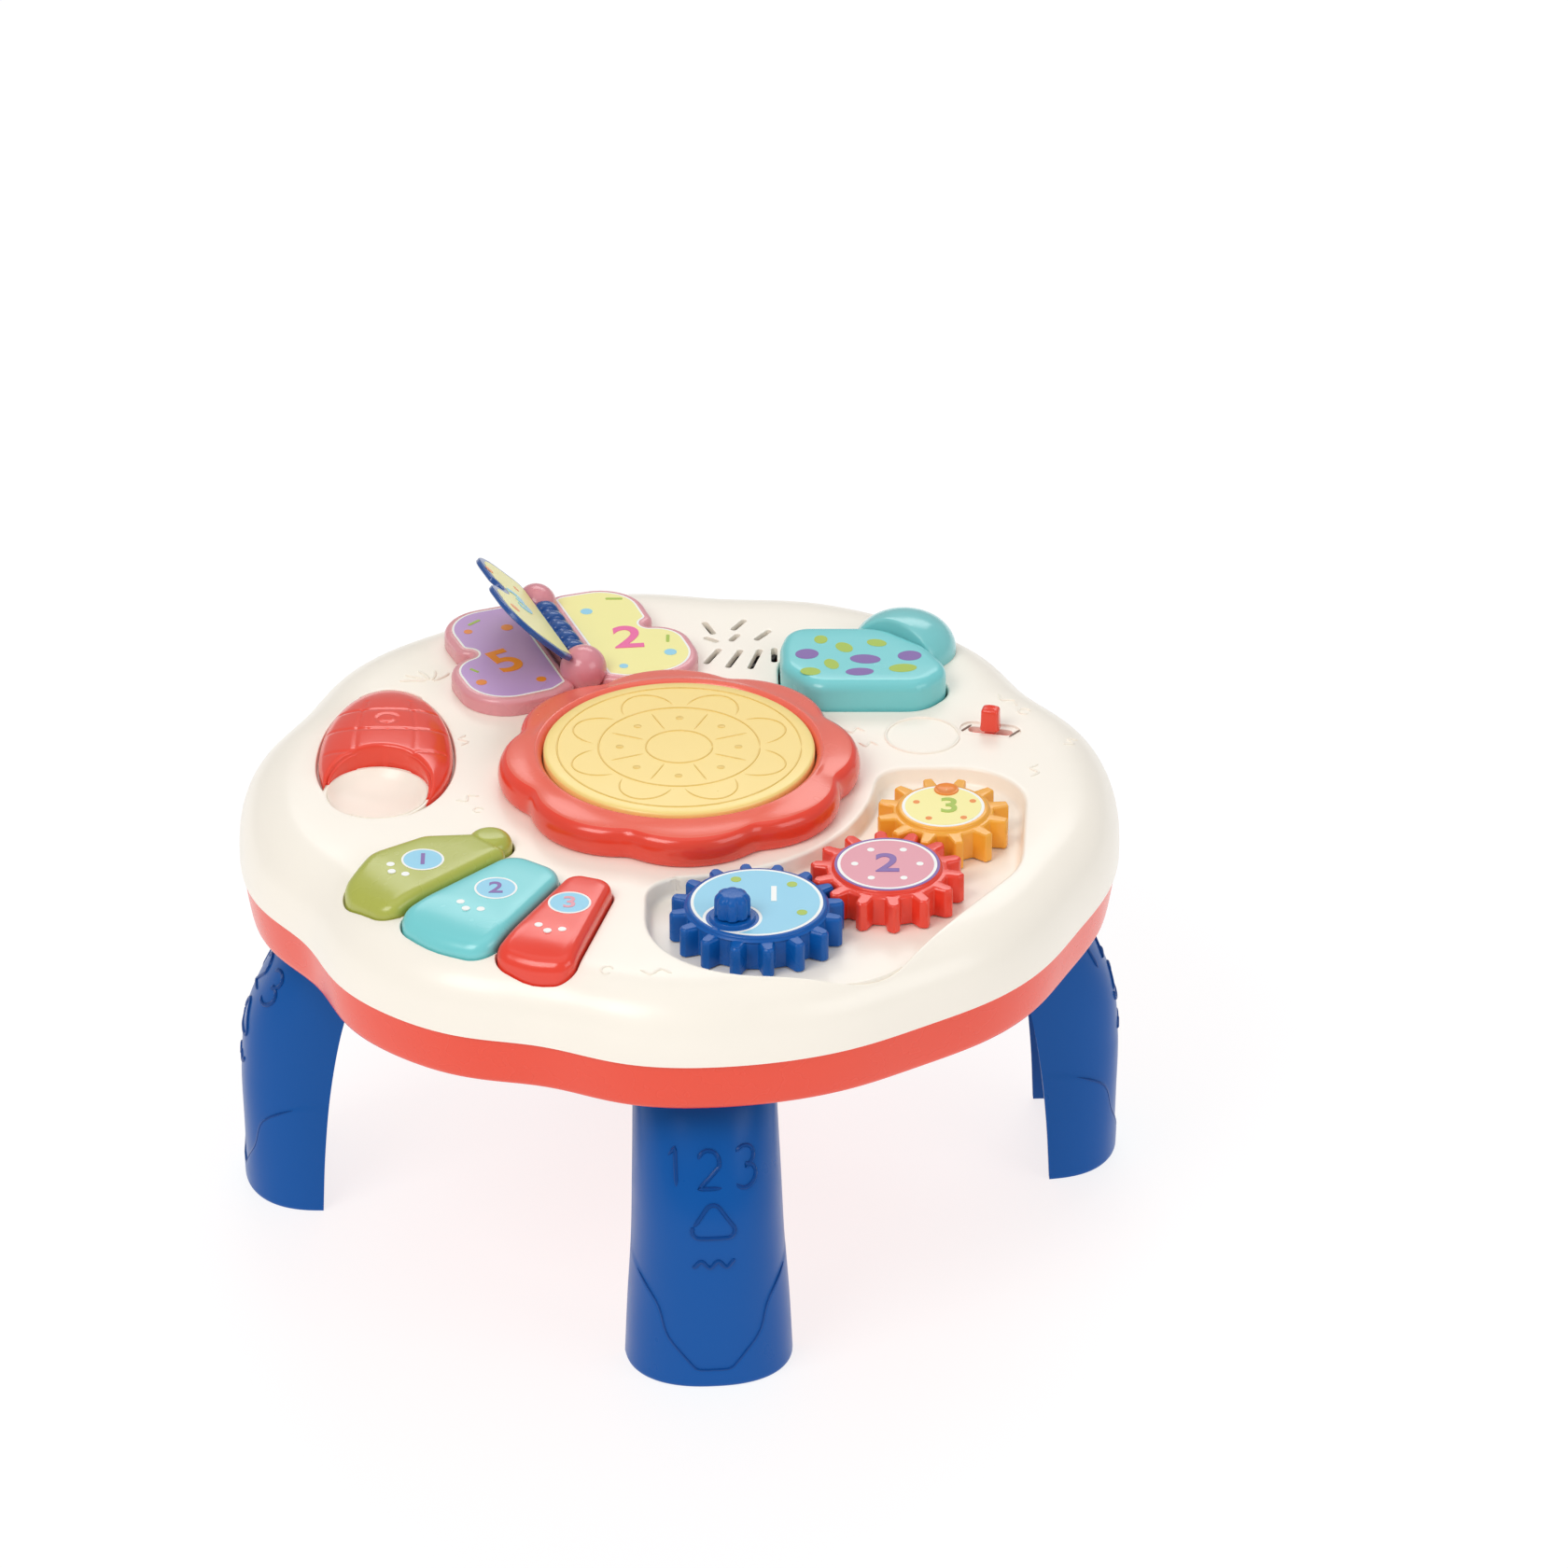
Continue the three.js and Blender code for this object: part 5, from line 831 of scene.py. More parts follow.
red = finish("glossy_red", "#F0452F", 0.2, coat=0.35)
# Painted light: the ring's top and lining get this paler red, standing in for where the lamps light them.
painted_light_red = finish("ring_top_painted_light", "#F26C58", 0.26, coat=0.3)
disc_yellow = finish("disc_yellow", "#FCDE88", 0.3)
disc_line = finish("disc_line", "#EDC768", 0.32)
ring_rows = [at_height(circle(62.6, LOBE_POINTS), RING_FOOT), *stacked(lobed, RING_SIDE),
             *stacked(sloped, RING_SLOPE)]
ring_rows += stacked(lambda radius: circle(radius, LOBE_POINTS), (
    (61.6, 199.3), (60.9, 199.45), (60.9, RING_FOOT), (62.6, RING_FOOT)))
ring_body = loft(ring_rows, False, False)
# Rows of the ring's top that take the painted light colour; the sides below keep the plain red.
painted_light_rows = range(PAINTED_LIGHT_START, len(RING_SIDE) + len(RING_SLOPE) + 2)
ring_looks = [painted_light_red if k // LOBE_POINTS in painted_light_rows else red for k in range(len(ring_body[1]))]
ring_lining = round_band([(60.85, 184.2), (60.85, 199.45), (60.3, 199.35), (59.2, 198.4), (58.3, 197.2),
                          (57.95, 196.2), (57.95, 190.2), (60.2, 190.1), (60.2, 184.2)])
piece("drum_ring_skin", [(*ring_body, ring_looks), (*ring_lining, painted_light_red)], "table", ["drum_ring"])
disc_parts = [(*revolved(DISC, 200), disc_yellow), *((*part, disc_line) for part in disc_pattern())]
piece("drum_head_skin", disc_parts, "drum", ["drum_head"])


# Keys. Three hollow caps in a fan, hinged at their inner ends: an olive one with a round stem, a teal one and
# a red one. Each has a pale disc with a number, and three dots, printed on it.
KEY_FOOT, KEY_TOP, KEY_WALL, KEY_EDGE = 172.0, 191.2, 2.2, 5.4
KEY_PRINT, KEY_SPOT, KEY_SPOT_RIM, KEY_SPOT_LEVEL = 190.9, 8.0, 8.9, 191.33
KEY_DOT, KEY_DOTS = 1.7, ((145.5, -5.2, 191.3), (148.7, 0, 191.4), (145.5, 5.2, 191.3))
DROOP, DROOP_START, DROOP_REACH = 5, 145, 26
STEM_RADIUS, STEM_EDGE, STEM_AT = 9.5, 5.7, (97.8, -2.26)
PRINT_DEPTH = 0.3


def cup(outline, bottom, top, wall, soft, droop=lambda xy: 0.0):
    """A hollow cap: outline(grow) gives the outline, soft the radius of its upper edge."""
    rings = []
    for grow, z, share in ((-wall - soft - 3, top - wall, 1), (-wall - soft * 0.5, top - wall, 1),
                           (-wall, top - wall - soft * 0.6, 1), (-wall, bottom + 0.3, 0),
                           (-wall + 0.3, bottom, 0), (-0.3, bottom, 0), (0, bottom + 0.3, 0),
                           (0, bottom + (top - soft - bottom) * 0.5, 0.5),
                           *((-inset, top - drop, 1) for inset, drop in fillet(soft, 9, SOFTNESS))):
        flat = outline(grow)
        rings.append(at_height(flat, z - droop(flat) * share))
    return rings


def capped(rings, middle, top):
    """Closes cup rings at both ends, above with rings that run in to a point, for a smooth bowed top."""
    verts, faces = loft(rings, False, False)
    count, base = len(rings[0]), len(verts)
    after = [*range(1, count), 0]
    faces += [(i, base, j) for i, j in zip(range(count), after)]
    row, verts = list(range(base - count, base)), [verts, [(*middle, rings[0][:, 2].mean())]]
    for level, share in enumerate((0.25, 0.5, 0.75, 0.92)):
        flat = rings[-1][:, :2] * (1 - share) + np.array(middle) * share
        verts.append(at_height(flat, top(flat)))
        new = list(range(base + 1 + level * count, base + 1 + (level + 1) * count))
        faces += [(row[i], row[j], new[j], new[i]) for i, j in zip(range(count), after)]
        row = new
    tip = np.array([middle], float)
    verts.append(at_height(tip, top(tip)))
    faces += [(row[i], row[j], row[-1] + 1) for i, j in zip(range(count), after)]
    return np.vstack(verts), faces


def key_droop(xy):
    """How far a key's top bows down towards its outer end."""
    return DROOP * np.clip((xy[:, 0] - DROOP_START) / DROOP_REACH, 0, 2) ** 2


def number_shape(text, size, z, x, y, degrees=0.0):
    """A printed number, its middle at a place and turned."""
    curve = bpy.data.curves.new("number", "FONT")
    curve.body, curve.size, curve.extrude, curve.offset = text, size, PRINT_DEPTH / 2, size * 0.018
    curve.align_x, curve.align_y = "CENTER", "CENTER"
    thing = linked("number", curve)
    bpy.context.view_layer.update()
    mesh = bpy.data.meshes.new_from_object(thing.evaluated_get(bpy.context.evaluated_depsgraph_get()))
    bpy.data.objects.remove(thing)
    work = bmesh.new()
    work.from_mesh(mesh)
    bmesh.ops.remove_doubles(work, verts=work.verts, dist=1e-4)
    verts = np.array([v.co[:] for v in work.verts])
    faces = [tuple(v.index for v in f.verts) for f in work.faces]
    work.free()
    verts[:, 2] += z
    return turned_to(verts, x, y, degrees), faces


teal = finish("soft_teal", "#7AD3D6", 0.25, coat=0.25)
key_red = finish("key_red", "#F0432F", 0.22, coat=0.3)
white, sky, pink, lilac, orange, leaf_green, lemon = (
    finish("print_" + name, colour, 0.35, grain=0.05) for name, colour in (
        ("white", "#F8F8F4"), ("sky", "#8FD0EA"), ("pink", "#E59AA8"), ("lilac", "#7E5AA6"),
        ("orange", "#F08A2C"), ("green", "#A7C23C"), ("lemon", "#FBF0A0")))
KEY_LOOKS = {"green": (finish("key_olive", "#B3B850", 0.27, coat=0.25), "1", (132.8, -1.5), (138, -1), lilac,
                       "olive_plastic"),
             "teal": (teal, "2", (128.3, 0), (132, 0), lilac, "teal_plastic"),
             "red": (key_red, "3", (124.4, 0), (132, 0), pink, "red_plastic")}
for name, azimuth in KEY_FANS.items():
    colour, digit, spot, middle, tint, slot_name = KEY_LOOKS[name]
    rings = cup(lambda g, n=name: rounded(key_corners(n), g, 5.0, 2.0), KEY_FOOT, KEY_TOP, KEY_WALL, KEY_EDGE,
                key_droop)
    parts = [(*capped(rings, middle, lambda xy: KEY_TOP - key_droop(xy)), colour)]
    if name == "green":
        stem = [(0, 172.4), (9.2, 172.4), (STEM_RADIUS, 172.8), (STEM_RADIUS, 185.5),
                *((STEM_RADIUS - i, KEY_TOP - d) for i, d in fillet(STEM_EDGE, 8)), (0, 191.25)]
        parts.append((*revolved(stem, 80, *STEM_AT), colour))
    rim = [circle(KEY_SPOT_RIM, 64, *spot)], [circle(KEY_SPOT + 0.05, 64, *spot)]
    parts += [(*plate([circle(KEY_SPOT, 64, *spot)], [], KEY_PRINT, KEY_SPOT_LEVEL), sky),
              (*plate(*rim, KEY_PRINT, KEY_SPOT_LEVEL + 0.03), white),
              (*number_shape(digit, 12.5, KEY_SPOT_LEVEL - 0.01, *spot, -azimuth), tint)]
    for x, y, level in KEY_DOTS:
        parts.append((*plate([circle(KEY_DOT, 24, x, spot[1] + y)], [], KEY_PRINT, level), white))
    piece(name + "_key_skin", [(turned_to(v, 0, 0, azimuth), f, m) for v, f, m in parts], name + "_key",
          [name + "_key"])


# Gears. Three meshing wheels of one tooth size, each a different colour, with round columns, ridges or square
# blocks for teeth and a raised round label. Each turns on a hub that goes down through the shell.
MODULE, PRESSURE, BACKLASH = 4.17, math.radians(22), 0.7
TEETH, TIP_ROUND, LABEL, ROOT_DEPTH = (16, 14, 12), (0.9, 1.5, 0.4), (29.2, 22.6, 19.2), 3.7
TOOTH_SOFT = ((0.7, 1.1, 1.0), (0.7, 1.4, 1.1), (0.5, 0.5, 0.45))
TIP_SHARE, TOP_SOFT, TOP_INSET = (3.0, 3.4, 1.35), (1.7, 1.3, 1.0), (0.8, 0.8, 0.55)
FIRST_PHASE, MESH_LINES = 30.4, (30.4, 63.9)
LABEL_EDGE, FIELD_EDGE, PRINT_SUNK, COLLAR_ROOM = 1.9, 1.3, 0.2, (11.0, 12.3)
GEAR_LOW, GEAR_TOP, LABEL_TOP, PRINT_LEVEL = 176.4, 189.4, 191.2, 191.22
CRANK = (-10, -13)
HUB = ((0, 171.0), (5.2, 171.0), (5.5, 171.3), (5.5, 178), (0, 178))


def gear_phases():
    """The turn of each wheel's first tooth, so that teeth meet gaps along the lines of centres."""
    phases = [math.radians(FIRST_PHASE)]
    for k, line in enumerate(MESH_LINES):
        line = math.radians(line)
        ahead = (phases[k] - line) % (2 * math.pi / TEETH[k])
        phases.append(line + math.pi - ahead * TEETH[k] / TEETH[k + 1] + math.pi / TEETH[k + 1])
    return phases


def tooth_half(number, radius):
    """Half the angle of a tooth at a radius, from the involute of its base circle."""
    pitch = MODULE * TEETH[number] / 2
    base = pitch * math.cos(PRESSURE)

    def involute(angle):
        return math.tan(angle) - angle

    return (math.pi / (2 * TEETH[number]) - BACKLASH / (4 * pitch) + involute(PRESSURE)
            - involute(math.acos(min(base / max(radius, base), 1))))


def gear_outline(number, grow):
    tip = GEARS[number][2]
    low, high = MODULE * TEETH[number] / 2 - ROOT_DEPTH, tip - TIP_ROUND[number]
    half = [(low, tooth_half(number, low)), (high, tooth_half(number, high)),
            (tip, tooth_half(number, tip) / TIP_SHARE[number])]
    row = [(r, -a, s) for (r, a), s in zip(half, TOOTH_SOFT[number])]
    row += [(r, -a, s) for r, a, s in row[::-1]]
    corners = []
    for k in range(TEETH[number]):
        middle = gear_phases()[number] + 2 * math.pi * k / TEETH[number]
        corners += [(r * math.cos(middle + a), r * math.sin(middle + a), s) for r, a, s in row]
    tight = []
    for before, (x, y, s), after in zip([corners[-1], *corners], corners, [*corners[1:], corners[0]]):
        near = min(math.hypot(other[0] - x, other[1] - y) for other in (before, after))
        tight.append((x, y, min(s, near * 0.62)))
    return rounded(tight, grow, 16.0, 2.0)


def make_gear(number):
    label = LABEL[number]
    rings = stacked(lambda g: gear_outline(number, g), [
        (-0.4, GEAR_LOW), (0, GEAR_LOW + 0.4), (0, 182),
        *((-min(i, TOP_INSET[number]), GEAR_TOP - d) for i, d in fillet(TOP_SOFT[number]))])
    flat = rings[-1][:, :2]
    inward = (MODULE * TEETH[number] / 2 - 5.6) / np.hypot(*flat.T) - 1
    rings += [at_height(flat * (1 + share * inward)[:, None], GEAR_TOP + 0.25 * share)
              for share in (0.3, 0.6, 0.85, 1.0)]
    disc = [(0, 188), (label + 0.9, 189.3), (label + 0.5, 189.7), (label, 190.1), (label - 0.1, 190.6),
            (label - 0.5, 191.0), (label - 1.1, LABEL_TOP), (0, LABEL_TOP)]
    return [loft(rings), revolved(disc, 120), revolved(HUB, 60)]


def prints(number):
    """The label's white edge and coloured field, its number, and the dots round that number."""
    label, z = LABEL[number] - LABEL_EDGE, PRINT_LEVEL
    clear = [[circle(r, 60, *CRANK)] if number == 0 else [] for r in COLLAR_ROOM]
    field, glyph_size, place, glyph_tint, dot, dot_tint = (
        (sky, 17, (7, 6), white, 2.2, leaf_green), (pink, 21, (0, 0), lilac, 1.5, white),
        (lemon, 17, (2.5, 0), leaf_green, 1.4, orange))[number]
    parts = [(*plate([circle(label, 140)], clear[0], z - PRINT_SUNK, z + 0.1), white),
             (*plate([circle(label - FIELD_EDGE, 140)], clear[1], z - PRINT_SUNK, z + 0.2), field)]
    if number == 1:
        band = plate([circle(label + 1.2, 140)], [circle(label + 0.05, 140)], z - PRINT_SUNK, z + 0.08)
        parts.append((*band, lilac))
    parts.append((*number_shape(str(number + 1), glyph_size, z + 0.25, *place), glyph_tint))
    ring, start, step, shift = ((20.5, -25, 70, 0), (12.5 * 1.08, 0, 60, 0),
                                (11.5 * 1.08, 20, 72, 0.75))[number]
    for k in range((3, 6, 5)[number]):
        a = math.radians(start + step * k)
        spot = circle(dot, 28, ring * math.cos(a) + shift, ring * math.sin(a))
        parts.append((*plate([spot], [], z - 0.1, z + 0.3), dot_tint))
    return parts


gear_blue = finish("gear_blue", "#0C5BAC", 0.28, coat=0.05, ior=1.36)
gear_yellow = finish("gear_yellow", "#F9B03A", 0.25, coat=0.25)
for number, (name, colour, slot_name) in enumerate((("blue_gear", gear_blue, "blue_plastic"),
                                                    ("red_gear", key_red, "red_plastic"),
                                                    ("yellow_gear", gear_yellow, "amber_plastic"))):
    parts = [(*shape, colour) for shape in make_gear(number)] + prints(number)
    if number == 0:
        collar = [(0, 191.0), (9.8, 191.0), (9.4, 191.6), (9.35, 192.3), (9.0, 192.75), (0, 192.8)]
        post = [(0, 192), (3, 192), (3, 199.3), (2.6, 199.7), (0, 199.7)]
        parts += [(*revolved(collar, 72, *CRANK), colour), (*revolved(post, 36, *CRANK), colour)]
    if number == 2:
        boss = [(0, 191.4), (3.2, 191.6), (4.2, 192.1), (5.0, 191.9), (5.4, 191.0)]
        parts.append((*revolved(boss, 48, 1.5, 14), orange))
    x, y, _ = GEARS[number]
    piece(name + "_skin", [(v + np.array([x, y, 0]), f, m) for v, f, m in parts], name, [name])


# Crank knob. A fluted blue cap that spins on the post of the blue gear, moulded in one piece with its bore
# closed at the top.
KNOB_TOP, KNOB_EDGE, FLUTES, FLUTE_DEPTH = 203.2, 3.4, 8, 0.9


def knob_ring(radius, z, flute=FLUTE_DEPTH):
    """A ring of the knob, round or fluted."""
    a = np.arange(240) * 2 * np.pi / 240
    r = radius - flute * (0.5 - 0.5 * np.cos(FLUTES * a)) ** 2.2
    return at_height(np.column_stack([r * np.cos(a), r * np.sin(a)]), z)


knob_rings = [knob_ring(*row) for row in (
    (3.3, 199.9, 0), (3.3, 193.4, 0), (6.9, 193.1), (7.5, 193.5), (7.6, 194.2), (7.5, 198),
    *((7.45 - i * 1.1, KNOB_TOP - d, FLUTE_DEPTH * max(0.0, 1 - i / KNOB_EDGE))
      for i, d in fillet(KNOB_EDGE, 8)),
    (2.4, KNOB_TOP + 0.05, 0), (0.6, KNOB_TOP + 0.05, 0))]
knob, knob_faces = loft(knob_rings)
knob += (GEARS[0][0] + CRANK[0], GEARS[0][1] + CRANK[1], 0)
piece("crank_knob_skin", [(knob, knob_faces, gear_blue)], "crank", ["crank_knob"])


# Butterfly. A fixed moulding with two plump pink wings, each with a printed sheet on its top, and a round
# head and tail that hold the steel pin of its page. The small marks of its print are set out by a geometry
# node tree.
BUTTERFLY, WING_LONG, WING_WIDE, BODY_HALF = (-50, 103, 20), 53, 46, 6.7
WING = [(x * WING_LONG, y * WING_WIDE, r * WING_LONG) for x, y, r in (
    (0.06, -0.62, 0.08), (0.3, -0.8, 0.2), (1, -0.86, 0.4), (1.02, 0.1, 0.3), (0.7, 0.16, 0.03),
    (0.84, 0.26, 0.12), (0.86, 1, 0.38), (0.14, 1.02, 0.2), (0.06, 0.8, 0.08))]
BASE_LOW, WING_TOP, WING_PRINT, BALL_LEVEL = 184.02, 191.7, 191.86, 193.9
MARK_DEPTH = 0.16


def wing(side, grow):
    return rounded(WING if side > 0 else [(-x, y, r) for x, y, r in WING][::-1], grow, 9.0)


def wing_side(side, grow):
    points = wing(side, grow)
    points[:, 0] = side * np.maximum(points[:, 0] * side, BODY_HALF - grow)
    return points


def ball_shape(radius, y, stretch):
    """The head or the tail: a ball, drawn out along the body and flat where it stands on the shell."""
    profile = [(radius * math.sin(a), BALL_LEVEL - radius * math.cos(a))
               for a in np.linspace(0.05, math.pi - 0.05, 40)]
    verts, faces = revolved([(0, BALL_LEVEL - radius), *profile, (0, BALL_LEVEL + radius)], 72)
    verts = verts * (1, stretch, 1) + (0, y, 0)
    verts[:, 2] = np.maximum(verts[:, 2], BASE_LOW)
    return verts, faces


def repeat_tree():
    """A shape on each point, with the point's own turn and size and a chance wobble of the size."""
    tree = bpy.data.node_groups.new("shape_on_points", "GeometryNodeTree")
    nodes, links = tree.nodes, tree.links
    for name, kind in (("Geometry", "Geometry"), ("Shape", "Object"), ("Material", "Material"),
                       ("Size wobble", "Float"), ("Seed", "Int")):
        tree.interface.new_socket(name, in_out="INPUT", socket_type="NodeSocket" + kind)
    tree.interface.new_socket("Geometry", in_out="OUTPUT", socket_type="NodeSocketGeometry")
    given, result = nodes.new("NodeGroupInput"), nodes.new("NodeGroupOutput")
    shape, chance = nodes.new("GeometryNodeObjectInfo"), nodes.new("FunctionNodeRandomValue")
    turn, size = (nodes.new("GeometryNodeInputNamedAttribute") for _ in range(2))
    low, high = (nodes.new("ShaderNodeMath") for _ in range(2))
    scaled, put = nodes.new("ShaderNodeVectorMath"), nodes.new("GeometryNodeInstanceOnPoints")
    real, paint = nodes.new("GeometryNodeRealizeInstances"), nodes.new("GeometryNodeSetMaterial")
    for node, name in ((turn, "turn"), (size, "size")):
        node.data_type = "FLOAT_VECTOR"
        node.inputs["Name"].default_value = name
    for node, operation in ((low, "SUBTRACT"), (high, "ADD")):
        node.operation = operation
        node.inputs[0].default_value = 1.0
        links.new(given.outputs["Size wobble"], node.inputs[1])
    scaled.operation = "SCALE"
    for source, target in (
            (given.outputs["Shape"], shape.inputs["Object"]), (low.outputs[0], chance.inputs[2]),
            (high.outputs[0], chance.inputs[3]), (given.outputs["Seed"], chance.inputs["Seed"]),
            (size.outputs["Attribute"], scaled.inputs[0]), (chance.outputs[1], scaled.inputs["Scale"]),
            (given.outputs["Geometry"], put.inputs["Points"]),
            (shape.outputs["Geometry"], put.inputs["Instance"]),
            (turn.outputs["Attribute"], put.inputs["Rotation"]), (scaled.outputs[0], put.inputs["Scale"]),
            (put.outputs[0], real.inputs[0]), (real.outputs[0], paint.inputs["Geometry"]),
            (given.outputs["Material"], paint.inputs["Material"]),
            (paint.outputs[0], result.inputs["Geometry"])):
        links.new(source, target)
    return tree


shape_on_points = repeat_tree()


def repeated(shape, z, places, material, wobble=0.0, seed=7):
    """Copies of a shape in mm, at height z and places (x, y, turn in degrees, size along x, size along y)."""
    tool = linked("shape", raw_mesh("shape", *shape))
    carrier = linked("points", raw_mesh("points", [(x, y, z) for x, y, *_ in places], []))
    for name, values in (("turn", [(0, 0, math.radians(p[2])) for p in places]),
                         ("size", [(p[3], p[4], 1) for p in places])):
        field = carrier.data.attributes.new(name, "FLOAT_VECTOR", "POINT")
        field.data.foreach_set("vector", [x for v in values for x in v])
    modifier = carrier.modifiers.new("repeat", "NODES")
    modifier.node_group = shape_on_points
    sockets = {s.name: s.identifier for s in shape_on_points.interface.items_tree if s.in_out == "INPUT"}
    for name, value in (("Shape", tool), ("Material", material), ("Size wobble", wobble), ("Seed", seed)):
        modifier[sockets[name]] = value
    bpy.context.view_layer.update()
    mesh = bpy.data.meshes.new_from_object(carrier.evaluated_get(bpy.context.evaluated_depsgraph_get()))
    verts = np.array([v.co[:] for v in mesh.vertices]) / MM
    faces = [tuple(f.vertices) for f in mesh.polygons]
    for thing in (tool, carrier):
        bpy.data.objects.remove(thing)
    bpy.data.meshes.remove(mesh)
    return verts, faces, material


wing_pink = finish("wing_pink", "#E39CA3", 0.27, coat=0.25)
body_pink = finish("body_pink", "#DE8E98", 0.25, coat=0.3)
sheet_lilac, sheet_yellow, bright_pink = (finish(name, colour, 0.36, grain=0.05) for name, colour in (
    ("sheet_lilac", "#C49BD6"), ("sheet_yellow", "#F6EE9C"), ("print_bright_pink", "#EE5FA0")))
base_parts = []
for side, tint in ((-1, sheet_lilac), (1, sheet_yellow)):
    rings = stacked(lambda g, s=side: wing_side(s, g), [(-0.3, BASE_LOW), (0, 184.3), (0, 187.0),
                                                        *((-i, WING_TOP - d) for i, d in fillet(2.6, 8))])
    base_parts += [(*loft(rings), wing_pink), (*plate([wing_side(side, -3.3)], [], 191.5, 191.82), white),
                   (*plate([wing_side(side, -4.2)], [], 191.6, 191.9), tint)]
base_parts.append((*box_part(-7.2, 7.2, -26, 40, BASE_LOW, 187.8, 0.8), body_pink))
for radius, y, stretch in ((10, -24, 1.0), (8.5, 38, 1.15)):
    base_parts.append((*ball_shape(radius, y, stretch), body_pink))
neck = [(0, BASE_LOW), (5.4, BASE_LOW), (5.4, 190.5), (4.2, 192.4), (0, 193)]
for y in (-16.9, 32.0):
    base_parts.append((*revolved(neck, 40, 0, y), body_pink))
dot = plate([circle(1, 28)], [], 0, MARK_DEPTH)
bar = plate([rounded(oblong(3.4, 0.7, 0.6))], [], 0, MARK_DEPTH)
for shape, places, tint, wobble, seed in (
        (dot, [(-18, 25, 0, 2.4, 2.4), (-35, 27, 0, 1.8, 1.8), (-44, -18, 0, 2.2, 2.2),
               (-19, -24, 0, 2.0, 2.0)], orange, 0.12, 3),
        (dot, [(19, 27, 0, 2.6, 2.6), (41, -20, 0, 2.4, 2.4), (18, -25, 0, 1.9, 1.9)], sky, 0.12, 5),
        (bar, [(-30, 34, 25, 1, 1), (-43.5, -7, -60, 0.8, 1), (34, 34, -20, 1, 1), (44, -8, 70, 0.9, 1)],
         leaf_green, 0.1, 9)):
    base_parts.append(repeated(shape, WING_PRINT, places, tint, wobble, seed))
for text, x, y, turn, tint in (("5", -28, -4, 12, orange), ("2", 28, -2, -14, bright_pink)):
    base_parts.append((*number_shape(text, 27, 191.95, x, y, turn), tint))
piece("butterfly_base_skin", [(turned_to(v, *BUTTERFLY), f, m) for v, f, m in base_parts], "table",
      ["butterfly_base"])


# Page. A thin blue wing that turns over on the pin like a page, with a ribbed barrel and a printed sheet on
# each of its sides. It is made flat about the pin and then raised.
PIN_LEVEL, PAGE_HALF, PAGE_GAP = 194.4, 1.2, 10.6
BARREL_START, BARREL_END, RIBS = -15.8, 31.0, 5


def page_side(grow):
    points = wing(-1, -3.45 + grow)
    points[:, 0] = np.minimum(points[:, 0], -PAGE_GAP - grow)
    return points


def along_y(profile, count=64):
    """A shape turned about Y, from (radius, y) pairs."""
    verts, faces = revolved(profile, count)
    return verts[:, [0, 2, 1]] * (-1, 1, 1), faces


def raised(verts):
    """The page's place at rest, halfway up between the wings."""
    c = math.sqrt(0.5)
    x, y, z = np.asarray(verts, float).T
    return turned_to(np.column_stack([x * c + z * c, y, -x * c + z * c + PIN_LEVEL]), *BUTTERFLY)


page_blue = finish("page_blue", "#1A4E96", 0.25, coat=0.25)
page_rings = stacked(page_side, ((-0.9, -PAGE_HALF), (-0.35, -1.08), (0, -0.7), (0, 0.7), (-0.35, 1.08),
                                 (-0.9, PAGE_HALF)))
barrel = [(1.75, -16.1), (4.3, -16.1), (4.6, BARREL_START)]
for rib in range(RIBS):
    start = BARREL_START + (BARREL_END - BARREL_START) / RIBS * rib
    barrel += [(r, start + y) for r, y in ((4.6, 1.6), (5.5, 2.1), (5.9, 3.0), (5.9, 6.0), (5.5, 6.9),
                                           (4.6, 7.5))]
barrel += [(4.6, BARREL_END), (4.3, 31.2), (1.75, 31.2), (1.75, -16.1)]
page_parts = [(*loft(page_rings), page_blue),
              (*box_part(-16, -2, -13, 28, -PAGE_HALF, PAGE_HALF, 0.5), page_blue),
              (*along_y(barrel), page_blue),
              (*plate([page_side(-3.0)], [], 1.15, 1.3), sheet_yellow),
              (*plate([page_side(-3.0)], [], -1.3, -1.15), leaf_green),
              (*number_shape("3", 24, 1.42, -27, 4, 10), sky),
              repeated(dot, 1.25, [(-38, 24, 0, 2.2, 2.2), (-20, 26, 0, 1.8, 1.8), (-40, -15, 0, 2.4, 2.4)],
                       orange, 0.1, 4)]
piece("page_skin", [(raised(v), f, m) for v, f, m in page_parts], "page", ["page"])


# Big button and lamp. A tall soft-edged teal cap that clicks down, with spots printed on it, and behind it
# the dome of the lamp in the same colour, of a milky plastic that lets the light through.
BUTTON_FOOT, BUTTON_TOP, SPOT_LEVEL, SPOT_DEPTH = 172.0, 196.5, 196.44, 0.14
DOME_X, DOME_Y, DOME_RADIUS, DOME_FOOT, DOME_HIGH = 96, 115, 22.5, 184.4, 15.8
DOME_SOFT = 1.3
PLUNGER = ((0, 168.3), (2.6, 168.3), (3, 168.7), (3, 195.0), (0, 195.0))


def dome_cut(grow):
    """The button's opening where it cuts into the dome, about the middle of the dome."""
    return rounded(BUTTON, grow) - np.array([DOME_X, DOME_Y])


def edge_drop(distance, soft):
    """How far a rounded edge lies below its top at a distance inside it."""
    ease = np.clip(soft - distance, 0, soft)
    return soft - np.sqrt(np.clip(soft * soft - ease ** 2, 0, None))


def dome_top(xy):
    rho = np.clip(np.hypot(*xy.T) / DOME_RADIUS, 0, 1)
    bulge = DOME_HIGH * np.sqrt(1 - rho ** SOFTNESS)
    return DOME_FOOT + bulge - edge_drop(-depth_in(xy, dome_cut(1.0)), DOME_SOFT)


